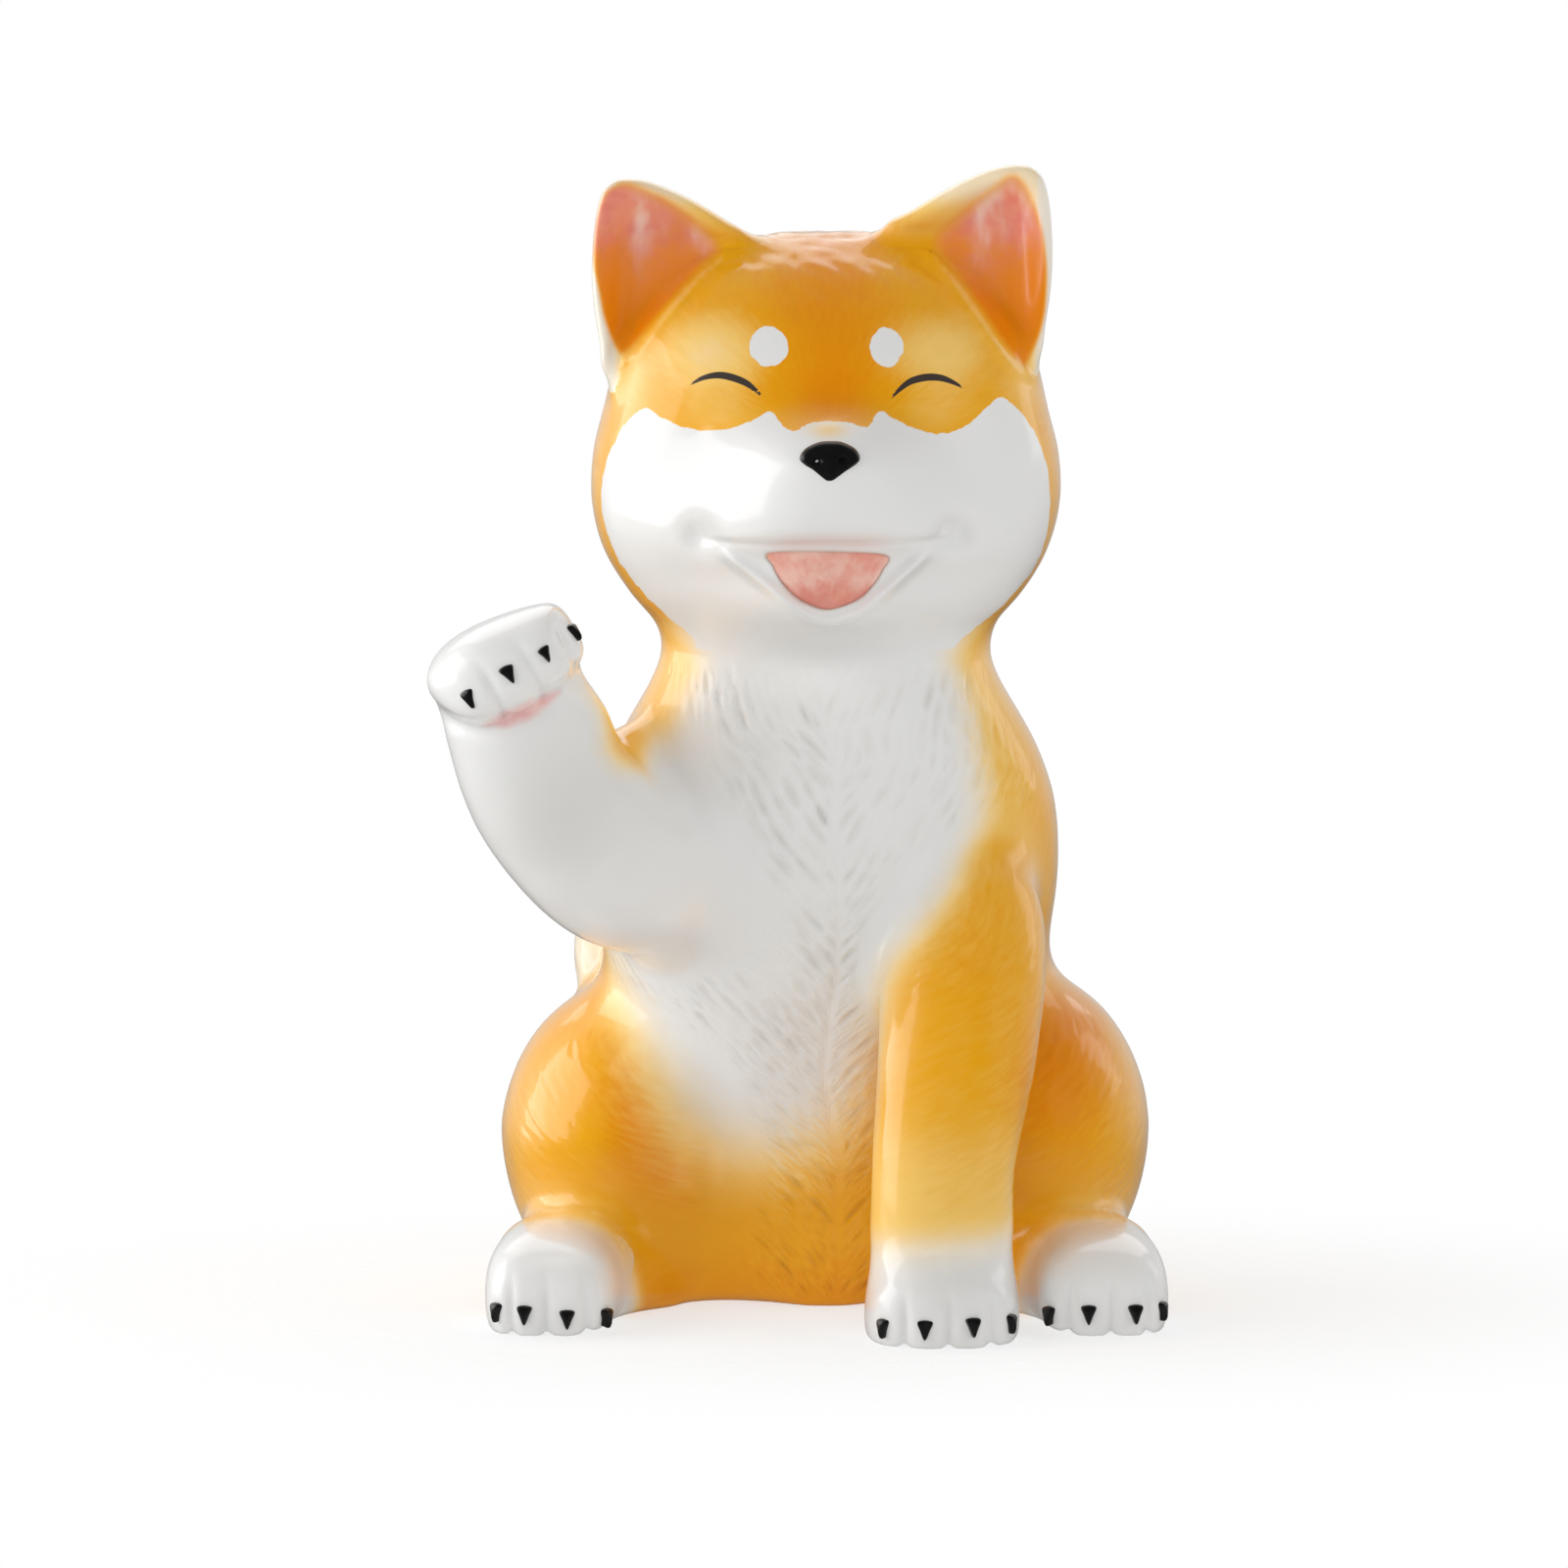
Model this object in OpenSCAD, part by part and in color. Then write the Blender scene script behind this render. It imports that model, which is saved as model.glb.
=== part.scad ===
// Sitting dog ornament with one forepaw raised in greeting.
// A slip-cast ceramic figure: torso and head are hollow castings, and each smaller casting
// is cut to the one that carries it and luted there before firing.
// Millimetres, +Z up, the dog looks along -Y. The origin is on the floor in the dog's middle plane.
// Left and right are the dog's own.

/* [Torso] */
// Width across the ribs, and across the cheeks above them
body_w = 122; // [116:1:128]
// Height of the neck joint
neck_z = 174; // [170:1:180]
// Reach of the chest in front of the origin
chest_y = 50; // [46:1:54]
// Reach of the rump behind the origin
rump_y = 78; // [74:1:84]
// Width of the neck joint
neck_w = 83; // [80:1:86]
// Reach of the neck joint in front of the origin
neck_front = 35; // [33:1:37]
// Reach of the neck joint behind the origin
neck_back = 36; // [34:1:38]

/* [Head] */
// Height from the neck joint to the crown
head_h = 106; // [100:1:112]
// Reach of the face in front of the origin, without the muzzle
face_y = 55; // [52:1:60]
// Reach of the back of the skull behind the origin
skull_y = 55; // [50:1:60]
// Length that the muzzle stands out of the face
muzzle_l = 23; // [20:1:26]
// Width of the muzzle
muzzle_w = 56; // [50:1:62]
// Height of the middle of the muzzle above the neck joint
muzzle_up = 42; // [40:1:44]
// Height of the muzzle
muzzle_h = 36; // [33:1:39]
// Length that the chin stands out of the face
chin_l = 14; // [11:1:17]

/* [Nose and mouth] */
// Width of the nose
nose_w = 16; // [13:1:19]
// Height of the nose
nose_h = 11; // [9:0.5:13]
// Height of the middle of the nose above the neck joint
nose_up = 51; // [48:1:54]
// Width of the open mouth
mouth_w = 31; // [27:1:35]
// Height of the upper lip above the neck joint
lip_up = 28; // [26:1:30]
// Reach of the back of the mouth in front of the origin
mouth_y = 52; // [49:1:54]
// Thickness of the tongue
tongue_t = 7; // [5:0.5:9]

/* [Ears] */
// Width of an ear along its root
ear_w = 55; // [50:1:60]
// Height of an ear above its root
ear_h = 36; // [32:1:40]
// Depth of an ear from its rim to its back
ear_d = 15; // [12:1:18]
// Depth of the hollow in the front of an ear
ear_cup = 9; // [6:1:11]
// Slope of the ear root, in degrees
ear_slope = 45; // [40:1:50]
// Distance of the right ear's root from the middle plane
right_ear_x = 37.5; // [36:0.5:41]
// Distance of the right ear's root below the crown
right_ear_drop = 19; // [17:0.5:22]
// Distance of the left ear's root from the middle plane
left_ear_x = 35.5; // [34:0.5:39]
// Distance of the left ear's root below the crown
left_ear_drop = 15.5; // [14:0.5:19]
// Distance of the ears' roots in front of the origin
ear_y = 17; // [14:1:20]
// Distance that the inner edge of an ear curls back
ear_curl = 12; // [8:1:15]

/* [Raised foreleg] */
// Diameter of the foreleg
arm_d = 44; // [40:1:48]
// Distance of the raised paw from the middle plane
raised_x = 81; // [77:0.5:85]
// Reach of the raised paw in front of the origin
raised_y = 57; // [53:1:61]
// Height of the raised paw above the floor
raised_z = 172; // [168:1:177]
// Lean of the raised paw, in degrees
raised_lean = 28; // [22:1:34]
// Turn of the raised paw's toes towards the middle plane, in degrees
raised_turn = 9; // [4:1:14]
// Width of the raised paw
raised_w = 43; // [40:1:46]
// Thickness of the raised paw
raised_t = 27; // [24:1:30]
// Reach of the raised paw's toes in front of its middle
raised_l = 25; // [22:1:27]

/* [Standing foreleg] */
// Diameter of the foreleg
leg_d = 37; // [34:1:40]
// Distance of the foot from the middle plane
leg_x = 29.5; // [27:0.5:31]
// Reach of the foot in front of the origin
leg_y = 64; // [61:1:67]
// Width of the standing paw
paw_w = 41; // [38:1:42]
// Length of the standing paw in front of the leg
paw_l = 28; // [25:1:32]
// Height of the standing paw
paw_h = 24; // [21:1:27]

/* [Hindquarters] */
// Width of a haunch
haunch_w = 73; // [70:1:77]
// Length of a haunch
haunch_l = 104; // [98:1:110]
// Height of the left haunch
left_haunch_h = 88; // [84:1:92]
// Height of the right haunch
right_haunch_h = 85; // [80:1:90]
// Distance of a haunch from the middle plane
haunch_x = 49; // [47:0.5:51]
// Distance that the top of a haunch leans inwards
haunch_lean = 3; // [1:0.5:5]
// Distance of a haunch behind the origin
haunch_y = 18; // [15:1:22]
// Distance of a hind paw from the middle plane
hind_x = 68.5; // [67:0.5:71]
// Width of a hind paw
hind_w = 37; // [34:0.5:38]
// Distance of a hind paw in front of the origin
hind_y = 27; // [24:1:30]
// Reach of a hind paw's toes in front of its middle
hind_l = 43; // [39:1:46]
// Turn of a hind paw outwards, in degrees
hind_turn = 6; // [3:1:9]
// Height of a hind paw
hind_h = 26; // [23:1:29]
// Diameter of the tail
tail_d = 33; // [30:1:36]
// Height of the bend of the tail above the floor
tail_h = 90; // [86:1:94]

/* [Claws] */
// Width of a claw
claw_w = 4.4; // [3.6:0.2:5.2]
// Length of a claw
claw_l = 5.2; // [4.4:0.2:6]

/* [Casting] */
// Wall of the hollow castings
wall = 6; // [4:0.5:8]
// Diameter of the drain hole in the base
drain_d = 28; // [18:1:36]
// Distance of the drain hole behind the origin
drain_y = 38; // [34:1:44]
// Clearance round the tongue
fit = 0.2; // [0.1:0.05:0.4]

/* [Hidden] */
crown_z = neck_z + head_h;
hind_heel = 0.8 * hind_l;
toes = 4;
lip_z = neck_z + lip_up;
nose_z = neck_z + nose_up;

// Stations of the torso: share of the neck height, then shares of half width, chest and rump
torso_stations = [
    [-0.02, 0.8, 0.3, 0.9],
    [0.04, 0.86, 0.38, 0.94],
    [0.14, 0.93, 0.44, 0.99],
    [0.26, 0.96, 0.54, 1],
    [0.4, 0.955, 0.71, 0.95],
    [0.54, 0.965, 0.9, 0.84],
    [0.66, 1, 1, 0.73],
    [0.77, 0.975, 0.98, 0.64],
    [0.855, 0.885, 0.9, 0.57],
    [0.94, 0.745, 0.78, 0.5],
    [1, neck_w / body_w, neck_front / chest_y, neck_back / rump_y],
];

// Stations of the head: share of the head height, then shares of half width, face and skull
head_stations = [
    [0, neck_w / body_w, neck_front / face_y, neck_back / skull_y],
    [0.05, 0.735, 0.76, 0.73],
    [0.12, 0.84, 0.87, 0.83],
    [0.22, 0.945, 0.94, 0.92],
    [0.34, 1, 0.985, 0.98],
    [0.46, 0.995, 1, 1],
    [0.58, 0.945, 0.98, 0.97],
    [0.68, 0.905, 0.91, 0.9],
    [0.77, 0.86, 0.79, 0.8],
    [0.85, 0.77, 0.63, 0.68],
    [0.92, 0.63, 0.44, 0.53],
    [0.97, 0.45, 0.22, 0.38],
    [1, 0.2, 0.02, 0.24],
];

// Outline of an ear seen from the front: shares of its width and height
ear_outline = [
    [-0.5, -0.06],
    [-0.38, 0.25],
    [-0.2, 0.6],
    [0.02, 0.9],
    [0.17, 1],
    [0.29, 0.86],
    [0.38, 0.56],
    [0.44, 0.2],
    [0.48, -0.15],
    [0.2, -0.5],
    [-0.25, -0.5],
];

// Routes of the limbs and the tail, each point with its share of the limb's diameter
arm_hand = [-raised_x, -raised_y, raised_z];
arm_route = [
    [[-0.25 * body_w, -0.5 * chest_y, 0.66 * neck_z], 1],
    [[-0.43 * body_w, -0.76 * chest_y, 0.685 * neck_z], 1.03],
    [arm_hand + arm_d * [0.27, 0.2, -0.8], 1],
    [arm_hand + arm_d * [0.09, 0.09, -0.36], 0.95],
    [arm_hand + arm_d * [0.02, 0.02, -0.09], 0.89],
];
leg_foot = [leg_x, -leg_y, 0];
leg_route = [
    [[0.28 * body_w, -0.2 * chest_y, 0.72 * neck_z], 0.9],
    [[0.29 * body_w, -0.76 * chest_y, 0.57 * neck_z], 1.14],
    [leg_foot + leg_d * [0.11, 0.22, 1.95], 1.1],
    [leg_foot + leg_d * [0.01, 0.05, 1.19], 0.99],
    [leg_foot + leg_d * [0, 0, 0.54], 1],
    [leg_foot + leg_d * [0, 0, 0.22], 0.98],
];
tail_route = [
    [[0, 0.8 * rump_y, 0.34 * tail_h], 0.8],
    [[-0.06 * body_w, rump_y, 0.5 * tail_h], 1],
    [[-0.19 * body_w, 1.03 * rump_y, 0.76 * tail_h], 1],
    [[-0.33 * body_w, 0.88 * rump_y, 0.96 * tail_h], 0.98],
    [[-0.42 * body_w, 0.66 * rump_y, tail_h], 0.92],
    [[-0.435 * body_w, 0.5 * rump_y, 0.86 * tail_h], 0.74],
    [[-0.435 * body_w, 0.44 * rump_y, 0.78 * tail_h], 0.4],
];

// Number of the interval of a station table that holds s
function interval(table, s, i = 0) =
    i >= len(table) - 2 || s < table[i + 1][0] ? i : interval(table, s, i + 1);

// Slope of a column at station i
function slope(table, i, column) =
    let (a = max(i - 1, 0), b = min(i + 1, len(table) - 1))
    (table[b][column] - table[a][column]) / (table[b][0] - table[a][0]);

// Value of a column at s, on a smooth curve through the stations
function along(table, s, column) =
    let (
        i = interval(table, s),
        h = table[i + 1][0] - table[i][0],
        u = (s - table[i][0]) / h,
        v = 1 - u
    )
    table[i][column] * (1 + 2 * u) * v * v
    + slope(table, i, column) * h * u * v * v
    + table[i + 1][column] * u * u * (3 - 2 * u)
    - slope(table, i + 1, column) * h * u * u * v;

// Point on a smooth curve through points p1 and p2, with p0 before and p3 after them
function spline(p0, p1, p2, p3, u) =
    0.5 * (2 * p1 + (p2 - p0) * u + (2 * p0 - 5 * p1 + 4 * p2 - p3) * u * u
        + (3 * p1 - p0 - 3 * p2 + p3) * u * u * u);

// Points along an open route, and along a closed outline
function open_curve(route, steps) =
    let (n = len(route) - 1)
    [
        for (i = [0 : n - 1]) for (k = [0 : steps - 1])
            spline(route[max(i - 1, 0)], route[i], route[i + 1], route[min(i + 2, n)], k / steps),
        route[n],
    ];
function closed_curve(outline, steps) =
    let (n = len(outline))
    [for (i = [0 : n - 1]) for (k = [0 : steps - 1])
        spline(outline[(i + n - 1) % n], outline[i], outline[(i + 1) % n], outline[(i + 2) % n], k / steps)];

// Power that keeps the sign, for the rounded corners of a superellipse
function signed_power(x, p) = sign(x) * pow(abs(x), p);
round_power = 0.9;

// Ring of a body at height z, given its half width and its reach to the front and the back
function body_ring(half, front, back, z, sides) =
    let (middle = (back - front) / 2, reach = (back + front) / 2)
    [for (j = [0 : sides - 1])
        let (a = 360 * j / sides)
        [half * signed_power(cos(a), round_power), middle + reach * signed_power(sin(a), round_power), z]];

function torso_ring(z, sides, inset = 0) =
    let (s = min(z / neck_z, 1))
    body_ring(
        along(torso_stations, s, 1) * body_w / 2 - inset,
        along(torso_stations, s, 2) * chest_y - inset,
        along(torso_stations, s, 3) * rump_y - inset,
        z, sides);

// A rounded swelling of height 1
function swelling(x, z, half, height) = exp(-pow(abs(x) / half, 2.5) - pow(abs(z) / height, 4));
chin_drop = 13;
chin_half_h = 9;

// Half width of the muzzle at a height above its middle, as it narrows towards the eyes
muzzle_taper = 0.65;
function muzzle_half(up) = muzzle_w / 2 * (1 - muzzle_taper * max(min(up / muzzle_h, 0.7), -0.55));

// Reach of muzzle and chin in front of the face at x and z
function face_relief(x, z) =
    let (up = z - neck_z - muzzle_up)
    muzzle_l * swelling(x, up, muzzle_half(up), muzzle_h / 2)
    + chin_l * swelling(x, z - lip_z + chin_drop, 0.36 * muzzle_w, chin_half_h);

function head_ring(z, sides, inset = 0) =
    let (
        s = max((z - neck_z) / head_h, 0),
        plain = body_ring(
            along(head_stations, s, 1) * body_w / 2 - inset,
            along(head_stations, s, 2) * face_y - inset,
            along(head_stations, s, 3) * skull_y - inset,
            z, sides)
    )
    inset > 0 ? plain
    : [for (j = [0 : sides - 1])
        let (front = max(-sin(360 * j / sides), 0))
        plain[j] - [0, face_relief(plain[j][0], z) * min(3 * front, 1), 0]];

// Closed skin over a stack of rings that run anticlockwise seen from the end of the stack
module skin(rings) {
    n = len(rings[0]);
    last = len(rings) - 1;
    polyhedron(
        points = [for (ring = rings) each ring],
        faces = [
            [for (j = [0 : n - 1]) j],
            [for (j = [n - 1 : -1 : 0]) last * n + j],
            for (i = [0 : last - 1]) for (j = [0 : n - 1])
                let (k = (j + 1) % n)
                each [
                    [i * n + j, (i + 1) * n + j, (i + 1) * n + k],
                    [i * n + j, (i + 1) * n + k, i * n + k],
                ],
        ]);
}

// Round limb along a route of points with their shares of the diameter, and a direction that it never runs in
module limb(route, diameter, steps, sides, away = [0, 1, 0]) {
    points = open_curve([for (p = route) p[0]], steps);
    shares = open_curve([for (p = route) p[1]], steps);
    last = len(points) - 1;
    skin([for (i = [0 : last])
        let (
            run = points[min(i + 1, last)] - points[max(i - 1, 0)],
            ahead = run / norm(run),
            across = cross(away, ahead),
            side = across / norm(across),
            up = cross(ahead, side)
        )
        [for (j = [0 : sides - 1])
            let (a = 360 * j / sides)
            points[i] + shares[i] * diameter / 2 * (cos(a) * side + sin(a) * up)]]);
}

module torso_form() {
    skin([for (i = [0 : 24]) torso_ring(neck_z * (-0.02 + 1.02 * i / 24), 36)]);
}

module head_form() {
    skin([for (i = [0 : 30]) head_ring(neck_z + head_h * (1 - pow(1 - i / 30, 1.5)), 44)]);
}

// Haunch on the side given by 1 for left and -1 for right, its underside sunk below the floor
haunch_middle = 0.52;
haunch_sunk = 4;
module haunch_form(side, height) {
    middle = haunch_middle * height;
    skin([for (i = [0 : 15])
        let (t = -84 + 168 * i / 15, half = t < 0 ? middle + haunch_sunk : height - middle)
        [for (j = [0 : 27])
            let (a = 360 * j / 28)
            [side * (haunch_x - haunch_lean * max(sin(t), 0)) + haunch_w / 2 * cos(t) * cos(a),
                haunch_y + haunch_l / 2 * cos(t) * sin(a),
                middle + half * sin(t)]]]);
}

module arm_form() {
    limb(arm_route, arm_d, 4, 24);
}

module leg_form() {
    limb(leg_route, leg_d, 3, 24);
}

// Half width at which a paw's cross-section ends, as a share, at the share v of its half thickness
paw_round = 2.5;
toe_groove = 1.6;
function paw_share(v) = pow(max(1 - pow(abs(v), paw_round), 0), 1 / paw_round);

// Depth of the grooves between the toes at the share u of the half width
function groove(u) = toe_groove * pow(1 - abs(sin(90 * toes * (u + 1))), 2);

// Place of the front of a paw at the share u of its half width and v of its half thickness
function paw_front(l, u, v) =
    let (s = paw_share(v))
    -l * s * paw_share(min(abs(u) / max(s, 0.01), 1)) + groove(u) * s;

// Paw with its toes along -Y: width, reach to the toes, reach to the heel, half thickness
module paw_form(w, l, heel, half) {
    skin([for (i = [0 : 9])
        let (v = sin(-84 + 168 * i / 9), s = paw_share(v))
        [for (j = [0 : 39])
            let (
                a = 360 * j / 40,
                u = signed_power(cos(a), 2 / paw_round),
                d = signed_power(sin(a), 2 / paw_round)
            )
            [w / 2 * s * u, d < 0 ? l * s * d + groove(s * u) * s : heel * s * d, half * v]]]);
}

claw_spread = 1.06;
// Claws along the toes of a paw: width, reach to the toes, half thickness, drop below the middle
module claw_row(w, l, half, drop) {
    for (i = [0 : toes - 1])
        let (u = claw_spread * ((i + 0.5) / toes * 2 - 1))
        translate([w / 2 * u, paw_front(l, u, drop / half), -drop])
        hull() {
            for (k = [-1, 1])
                translate([0.28 * k * claw_w, 0, 0.25 * claw_l])
                sphere(d = 0.45 * claw_w, $fn = 6);
            translate([0, -0.1 * claw_l, -0.35 * claw_l])
            sphere(d = 0.3 * claw_w, $fn = 6);
        }
}

claw_drop = 0.8;
hind_claw_drop = 2;
module raised_place() {
    translate(arm_hand) rotate([0, -raised_lean, 0]) rotate([0, 0, raised_turn]) children();
}
module raised_paw_form() {
    raised_place() paw_form(raised_w, raised_l, 0.9 * raised_l, raised_t / 2);
}

paw_middle = 0.32;
module standing_place() {
    translate(leg_foot + [0, 0, paw_middle * paw_h]) children();
}
module standing_paw_form() {
    standing_place() paw_form(paw_w, paw_l, 0.6 * leg_d, (1 - paw_middle) * paw_h);
}

module hind_place(side) {
    translate([side * hind_x, -hind_y, paw_middle * hind_h]) rotate([0, 0, side * hind_turn]) children();
}
module hind_paw_form(side) {
    hind_place(side) paw_form(hind_w, hind_l, hind_heel, (1 - paw_middle) * hind_h);
}

// Everything below the floor
module below_floor() {
    reach = 2 * body_w;
    translate([-reach, -reach, -reach]) cube([2 * reach, 2 * reach, reach]);
}

module torso() {
    color("orange") difference() {
        torso_form();
        skin([for (i = [0 : 12]) torso_ring(wall + (neck_z - wall + 1) * i / 12, 24, wall)]);
        translate([0, drain_y, -1]) cylinder(d = drain_d, h = wall + 2, $fn = 48);
        below_floor();
    }
}

module mouth_hollow(inset) {
    intersection() {
        translate([0, -mouth_y, lip_z]) rotate([90, 0, 0])
            cylinder(d = mouth_w - 2 * inset, h = face_y, $fn = 48);
        translate([-mouth_w, -3 * face_y, lip_z - mouth_w]) cube([2 * mouth_w, 3 * face_y, mouth_w - inset]);
    }
}

module head() {
    color("darkorange") difference() {
        head_form();
        skin([for (i = [0 : 12]) head_ring(neck_z - 1 + (head_h - wall + 1) * i / 12, 24, wall)]);
        mouth_hollow(0);
    }
}

// Ear in its own frame: width along X, root at Z 0, hollow towards -Y
module ear_form() {
    outline = closed_curve(ear_outline, 3);
    middle = [0.06, 0.3];
    rim = 0.82;
    rim_y = -0.3 * ear_d;
    floor_y = rim_y + ear_cup;
    // Shares of the outline with the place of each ring, from the bottom of the hollow round the rim to the back
    profile = [
        [0.06, floor_y],
        [0.35, floor_y - 0.06 * ear_cup],
        [0.6, floor_y - 0.3 * ear_cup],
        [rim, 0.76 * rim_y],
        [0.5 + 0.5 * rim, rim_y],
        [0.985, 0.68 * rim_y],
        [1, 0.1 * rim_y],
        [0.96, 0.35 * ear_d],
        [0.8, 0.68 * ear_d],
        [0.5, 0.92 * ear_d],
        [0.1, ear_d],
    ];
    skin([for (p = profile)
        [for (k = outline)
            let (q = middle + p[0] * (k - middle))
            [ear_w * q[0], p[1] + ear_curl * pow(2 * max(q[0], 0), 2), ear_h * q[1]]]]);
}

module ear(side, x, drop) {
    difference() {
        translate([side * x, -ear_y, crown_z - drop])
            mirror([side > 0 ? 1 : 0, 0, 0])
            rotate([0, -ear_slope, 0])
            ear_form();
        head_form();
    }
}

module left_ear() {
    color("orange") ear(1, left_ear_x, left_ear_drop);
}

module right_ear() {
    color("orange") ear(-1, right_ear_x, right_ear_drop);
}

module nose() {
    nose_y = -face_y - face_relief(0, nose_z);
    color("black") difference() {
        translate([0, nose_y + 0.2 * nose_h, nose_z])
        hull() {
            for (k = [-1, 1])
                translate([0.24 * k * nose_w, 0, 0.14 * nose_h]) sphere(d = 0.52 * nose_w, $fn = 20);
            translate([0, 0, -0.3 * nose_h]) sphere(d = 0.36 * nose_w, $fn = 20);
        }
        head_form();
    }
}

module tongue() {
    color("lightcoral") intersection() {
        mouth_hollow(fit);
        translate([0, -mouth_y, lip_z - 0.25 * mouth_w])
        scale([mouth_w, 2 * tongue_t, 0.9 * mouth_w]) sphere(d = 1, $fn = 40);
    }
}

module raised_foreleg() {
    color("white") difference() {
        arm_form();
        torso_form();
    }
}

module raised_paw() {
    color("white") difference() {
        raised_paw_form();
        arm_form();
    }
}

module standing_foreleg() {
    color("orange") difference() {
        leg_form();
        torso_form();
        haunch_form(1, left_haunch_h);
        below_floor();
    }
}

module standing_paw() {
    color("white") difference() {
        standing_paw_form();
        leg_form();
        below_floor();
    }
}

module left_haunch() {
    color("orange") difference() {
        haunch_form(1, left_haunch_h);
        torso_form();
        below_floor();
    }
}

module right_haunch() {
    color("orange") difference() {
        haunch_form(-1, right_haunch_h);
        torso_form();
        below_floor();
    }
}

module left_hind_paw() {
    color("white") difference() {
        hind_paw_form(1);
        standing_paw_form();
        haunch_form(1, left_haunch_h);
        torso_form();
        below_floor();
    }
}

module right_hind_paw() {
    color("white") difference() {
        hind_paw_form(-1);
        haunch_form(-1, right_haunch_h);
        torso_form();
        below_floor();
    }
}

module tail() {
    color("cornsilk") difference() {
        limb(tail_route, tail_d, 3, 18, [1, 0, 0]);
        torso_form();
        haunch_form(-1, right_haunch_h);
    }
}

module raised_claws() {
    color("black") difference() {
        raised_place() claw_row(raised_w, raised_l, raised_t / 2, claw_drop);
        raised_paw_form();
    }
}

module standing_claws() {
    color("black") difference() {
        standing_place() claw_row(paw_w, paw_l, (1 - paw_middle) * paw_h, claw_drop);
        standing_paw_form();
    }
}

module left_hind_claws() {
    color("black") difference() {
        hind_place(1) claw_row(hind_w, hind_l, (1 - paw_middle) * hind_h, hind_claw_drop);
        hind_paw_form(1);
    }
}

module right_hind_claws() {
    color("black") difference() {
        hind_place(-1) claw_row(hind_w, hind_l, (1 - paw_middle) * hind_h, hind_claw_drop);
        hind_paw_form(-1);
    }
}

torso();
head();
left_ear();
right_ear();
nose();
tongue();
raised_foreleg();
raised_paw();
raised_claws();
standing_foreleg();
standing_paw();
standing_claws();
left_haunch();
right_haunch();
left_hind_paw();
right_hind_paw();
left_hind_claws();
right_hind_claws();
tail();
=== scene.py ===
import math

import bmesh
import bpy
import numpy as np
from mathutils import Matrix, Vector
from mathutils.bvhtree import BVHTree


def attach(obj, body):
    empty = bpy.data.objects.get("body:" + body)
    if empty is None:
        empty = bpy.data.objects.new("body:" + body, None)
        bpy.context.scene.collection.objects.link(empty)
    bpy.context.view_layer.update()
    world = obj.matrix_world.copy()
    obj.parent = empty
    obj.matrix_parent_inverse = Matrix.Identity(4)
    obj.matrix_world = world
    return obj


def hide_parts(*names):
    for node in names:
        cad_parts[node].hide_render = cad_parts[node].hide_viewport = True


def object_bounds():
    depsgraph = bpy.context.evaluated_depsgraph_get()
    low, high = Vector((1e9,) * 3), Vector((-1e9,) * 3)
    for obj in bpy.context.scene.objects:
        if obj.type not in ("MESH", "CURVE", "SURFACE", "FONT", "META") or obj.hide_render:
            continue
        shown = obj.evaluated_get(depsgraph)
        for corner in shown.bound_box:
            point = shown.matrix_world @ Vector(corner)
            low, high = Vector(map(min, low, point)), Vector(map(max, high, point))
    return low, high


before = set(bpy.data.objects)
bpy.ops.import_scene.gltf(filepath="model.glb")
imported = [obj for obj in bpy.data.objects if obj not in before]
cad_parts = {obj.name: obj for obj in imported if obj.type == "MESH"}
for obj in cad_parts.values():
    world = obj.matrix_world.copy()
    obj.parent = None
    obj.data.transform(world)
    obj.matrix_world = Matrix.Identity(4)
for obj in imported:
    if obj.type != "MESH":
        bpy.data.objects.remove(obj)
cad_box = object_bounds()

# A millimetre in metres, and the grain of the skin in millimetres
MM = 0.001
VOXEL = 0.84
# Gap between the visual and the sides of the CAD box
BOX_GAP = 0.02


def smoothstep(low, high, x):
    t = np.clip((x - low) / (high - low), 0, 1)
    return t * t * (3 - 2 * t)


def bell(x, width):
    return np.exp(-((x / width) ** 2))


def through(table, s):
    """Smooth values through the rows of a table, whose first column is the place."""
    table = np.array(table, float)
    place, value = table[:, 0], table[:, 1:]
    row = np.arange(len(place))
    before, after = np.maximum(row - 1, 0), np.minimum(row + 1, len(place) - 1)
    slope = (value[after] - value[before]) / (place[after] - place[before])[:, None]
    i = np.clip(np.searchsorted(place, s, side="right") - 1, 0, len(place) - 2)
    h = (place[i + 1] - place[i])[:, None]
    u = (np.asarray(s) - place[i])[:, None] / h
    v = 1 - u
    return (
        value[i] * (1 + 2 * u) * v * v
        + slope[i] * h * u * v * v
        + value[i + 1] * u * u * (3 - 2 * u)
        - slope[i + 1] * h * u * u * v
    )


def spline(points, steps, closed=False):
    """Points on a smooth curve through the given ones."""
    p = np.array(points, float)
    if closed:
        p = np.concatenate([p[-1:], p, p[:2]])
    else:
        p = np.concatenate([p[:1], p, p[-1:]])
    u = (np.arange(steps) / steps)[None, :, None]
    p0, p1, p2, p3 = (p[k : len(p) - 3 + k][:, None, :] for k in range(4))
    curve = 0.5 * (
        2 * p1
        + (p2 - p0) * u
        + (2 * p0 - 5 * p1 + 4 * p2 - p3) * u**2
        + (3 * p1 - p0 - 3 * p2 + p3) * u**3
    ).reshape(-1, p.shape[1])
    return curve if closed else np.concatenate([curve, p[-1:]])


def keep_sign(x, power):
    return np.sign(x) * np.abs(x) ** power


# Forms of the castings, in millimetres, each a stack of rings

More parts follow.
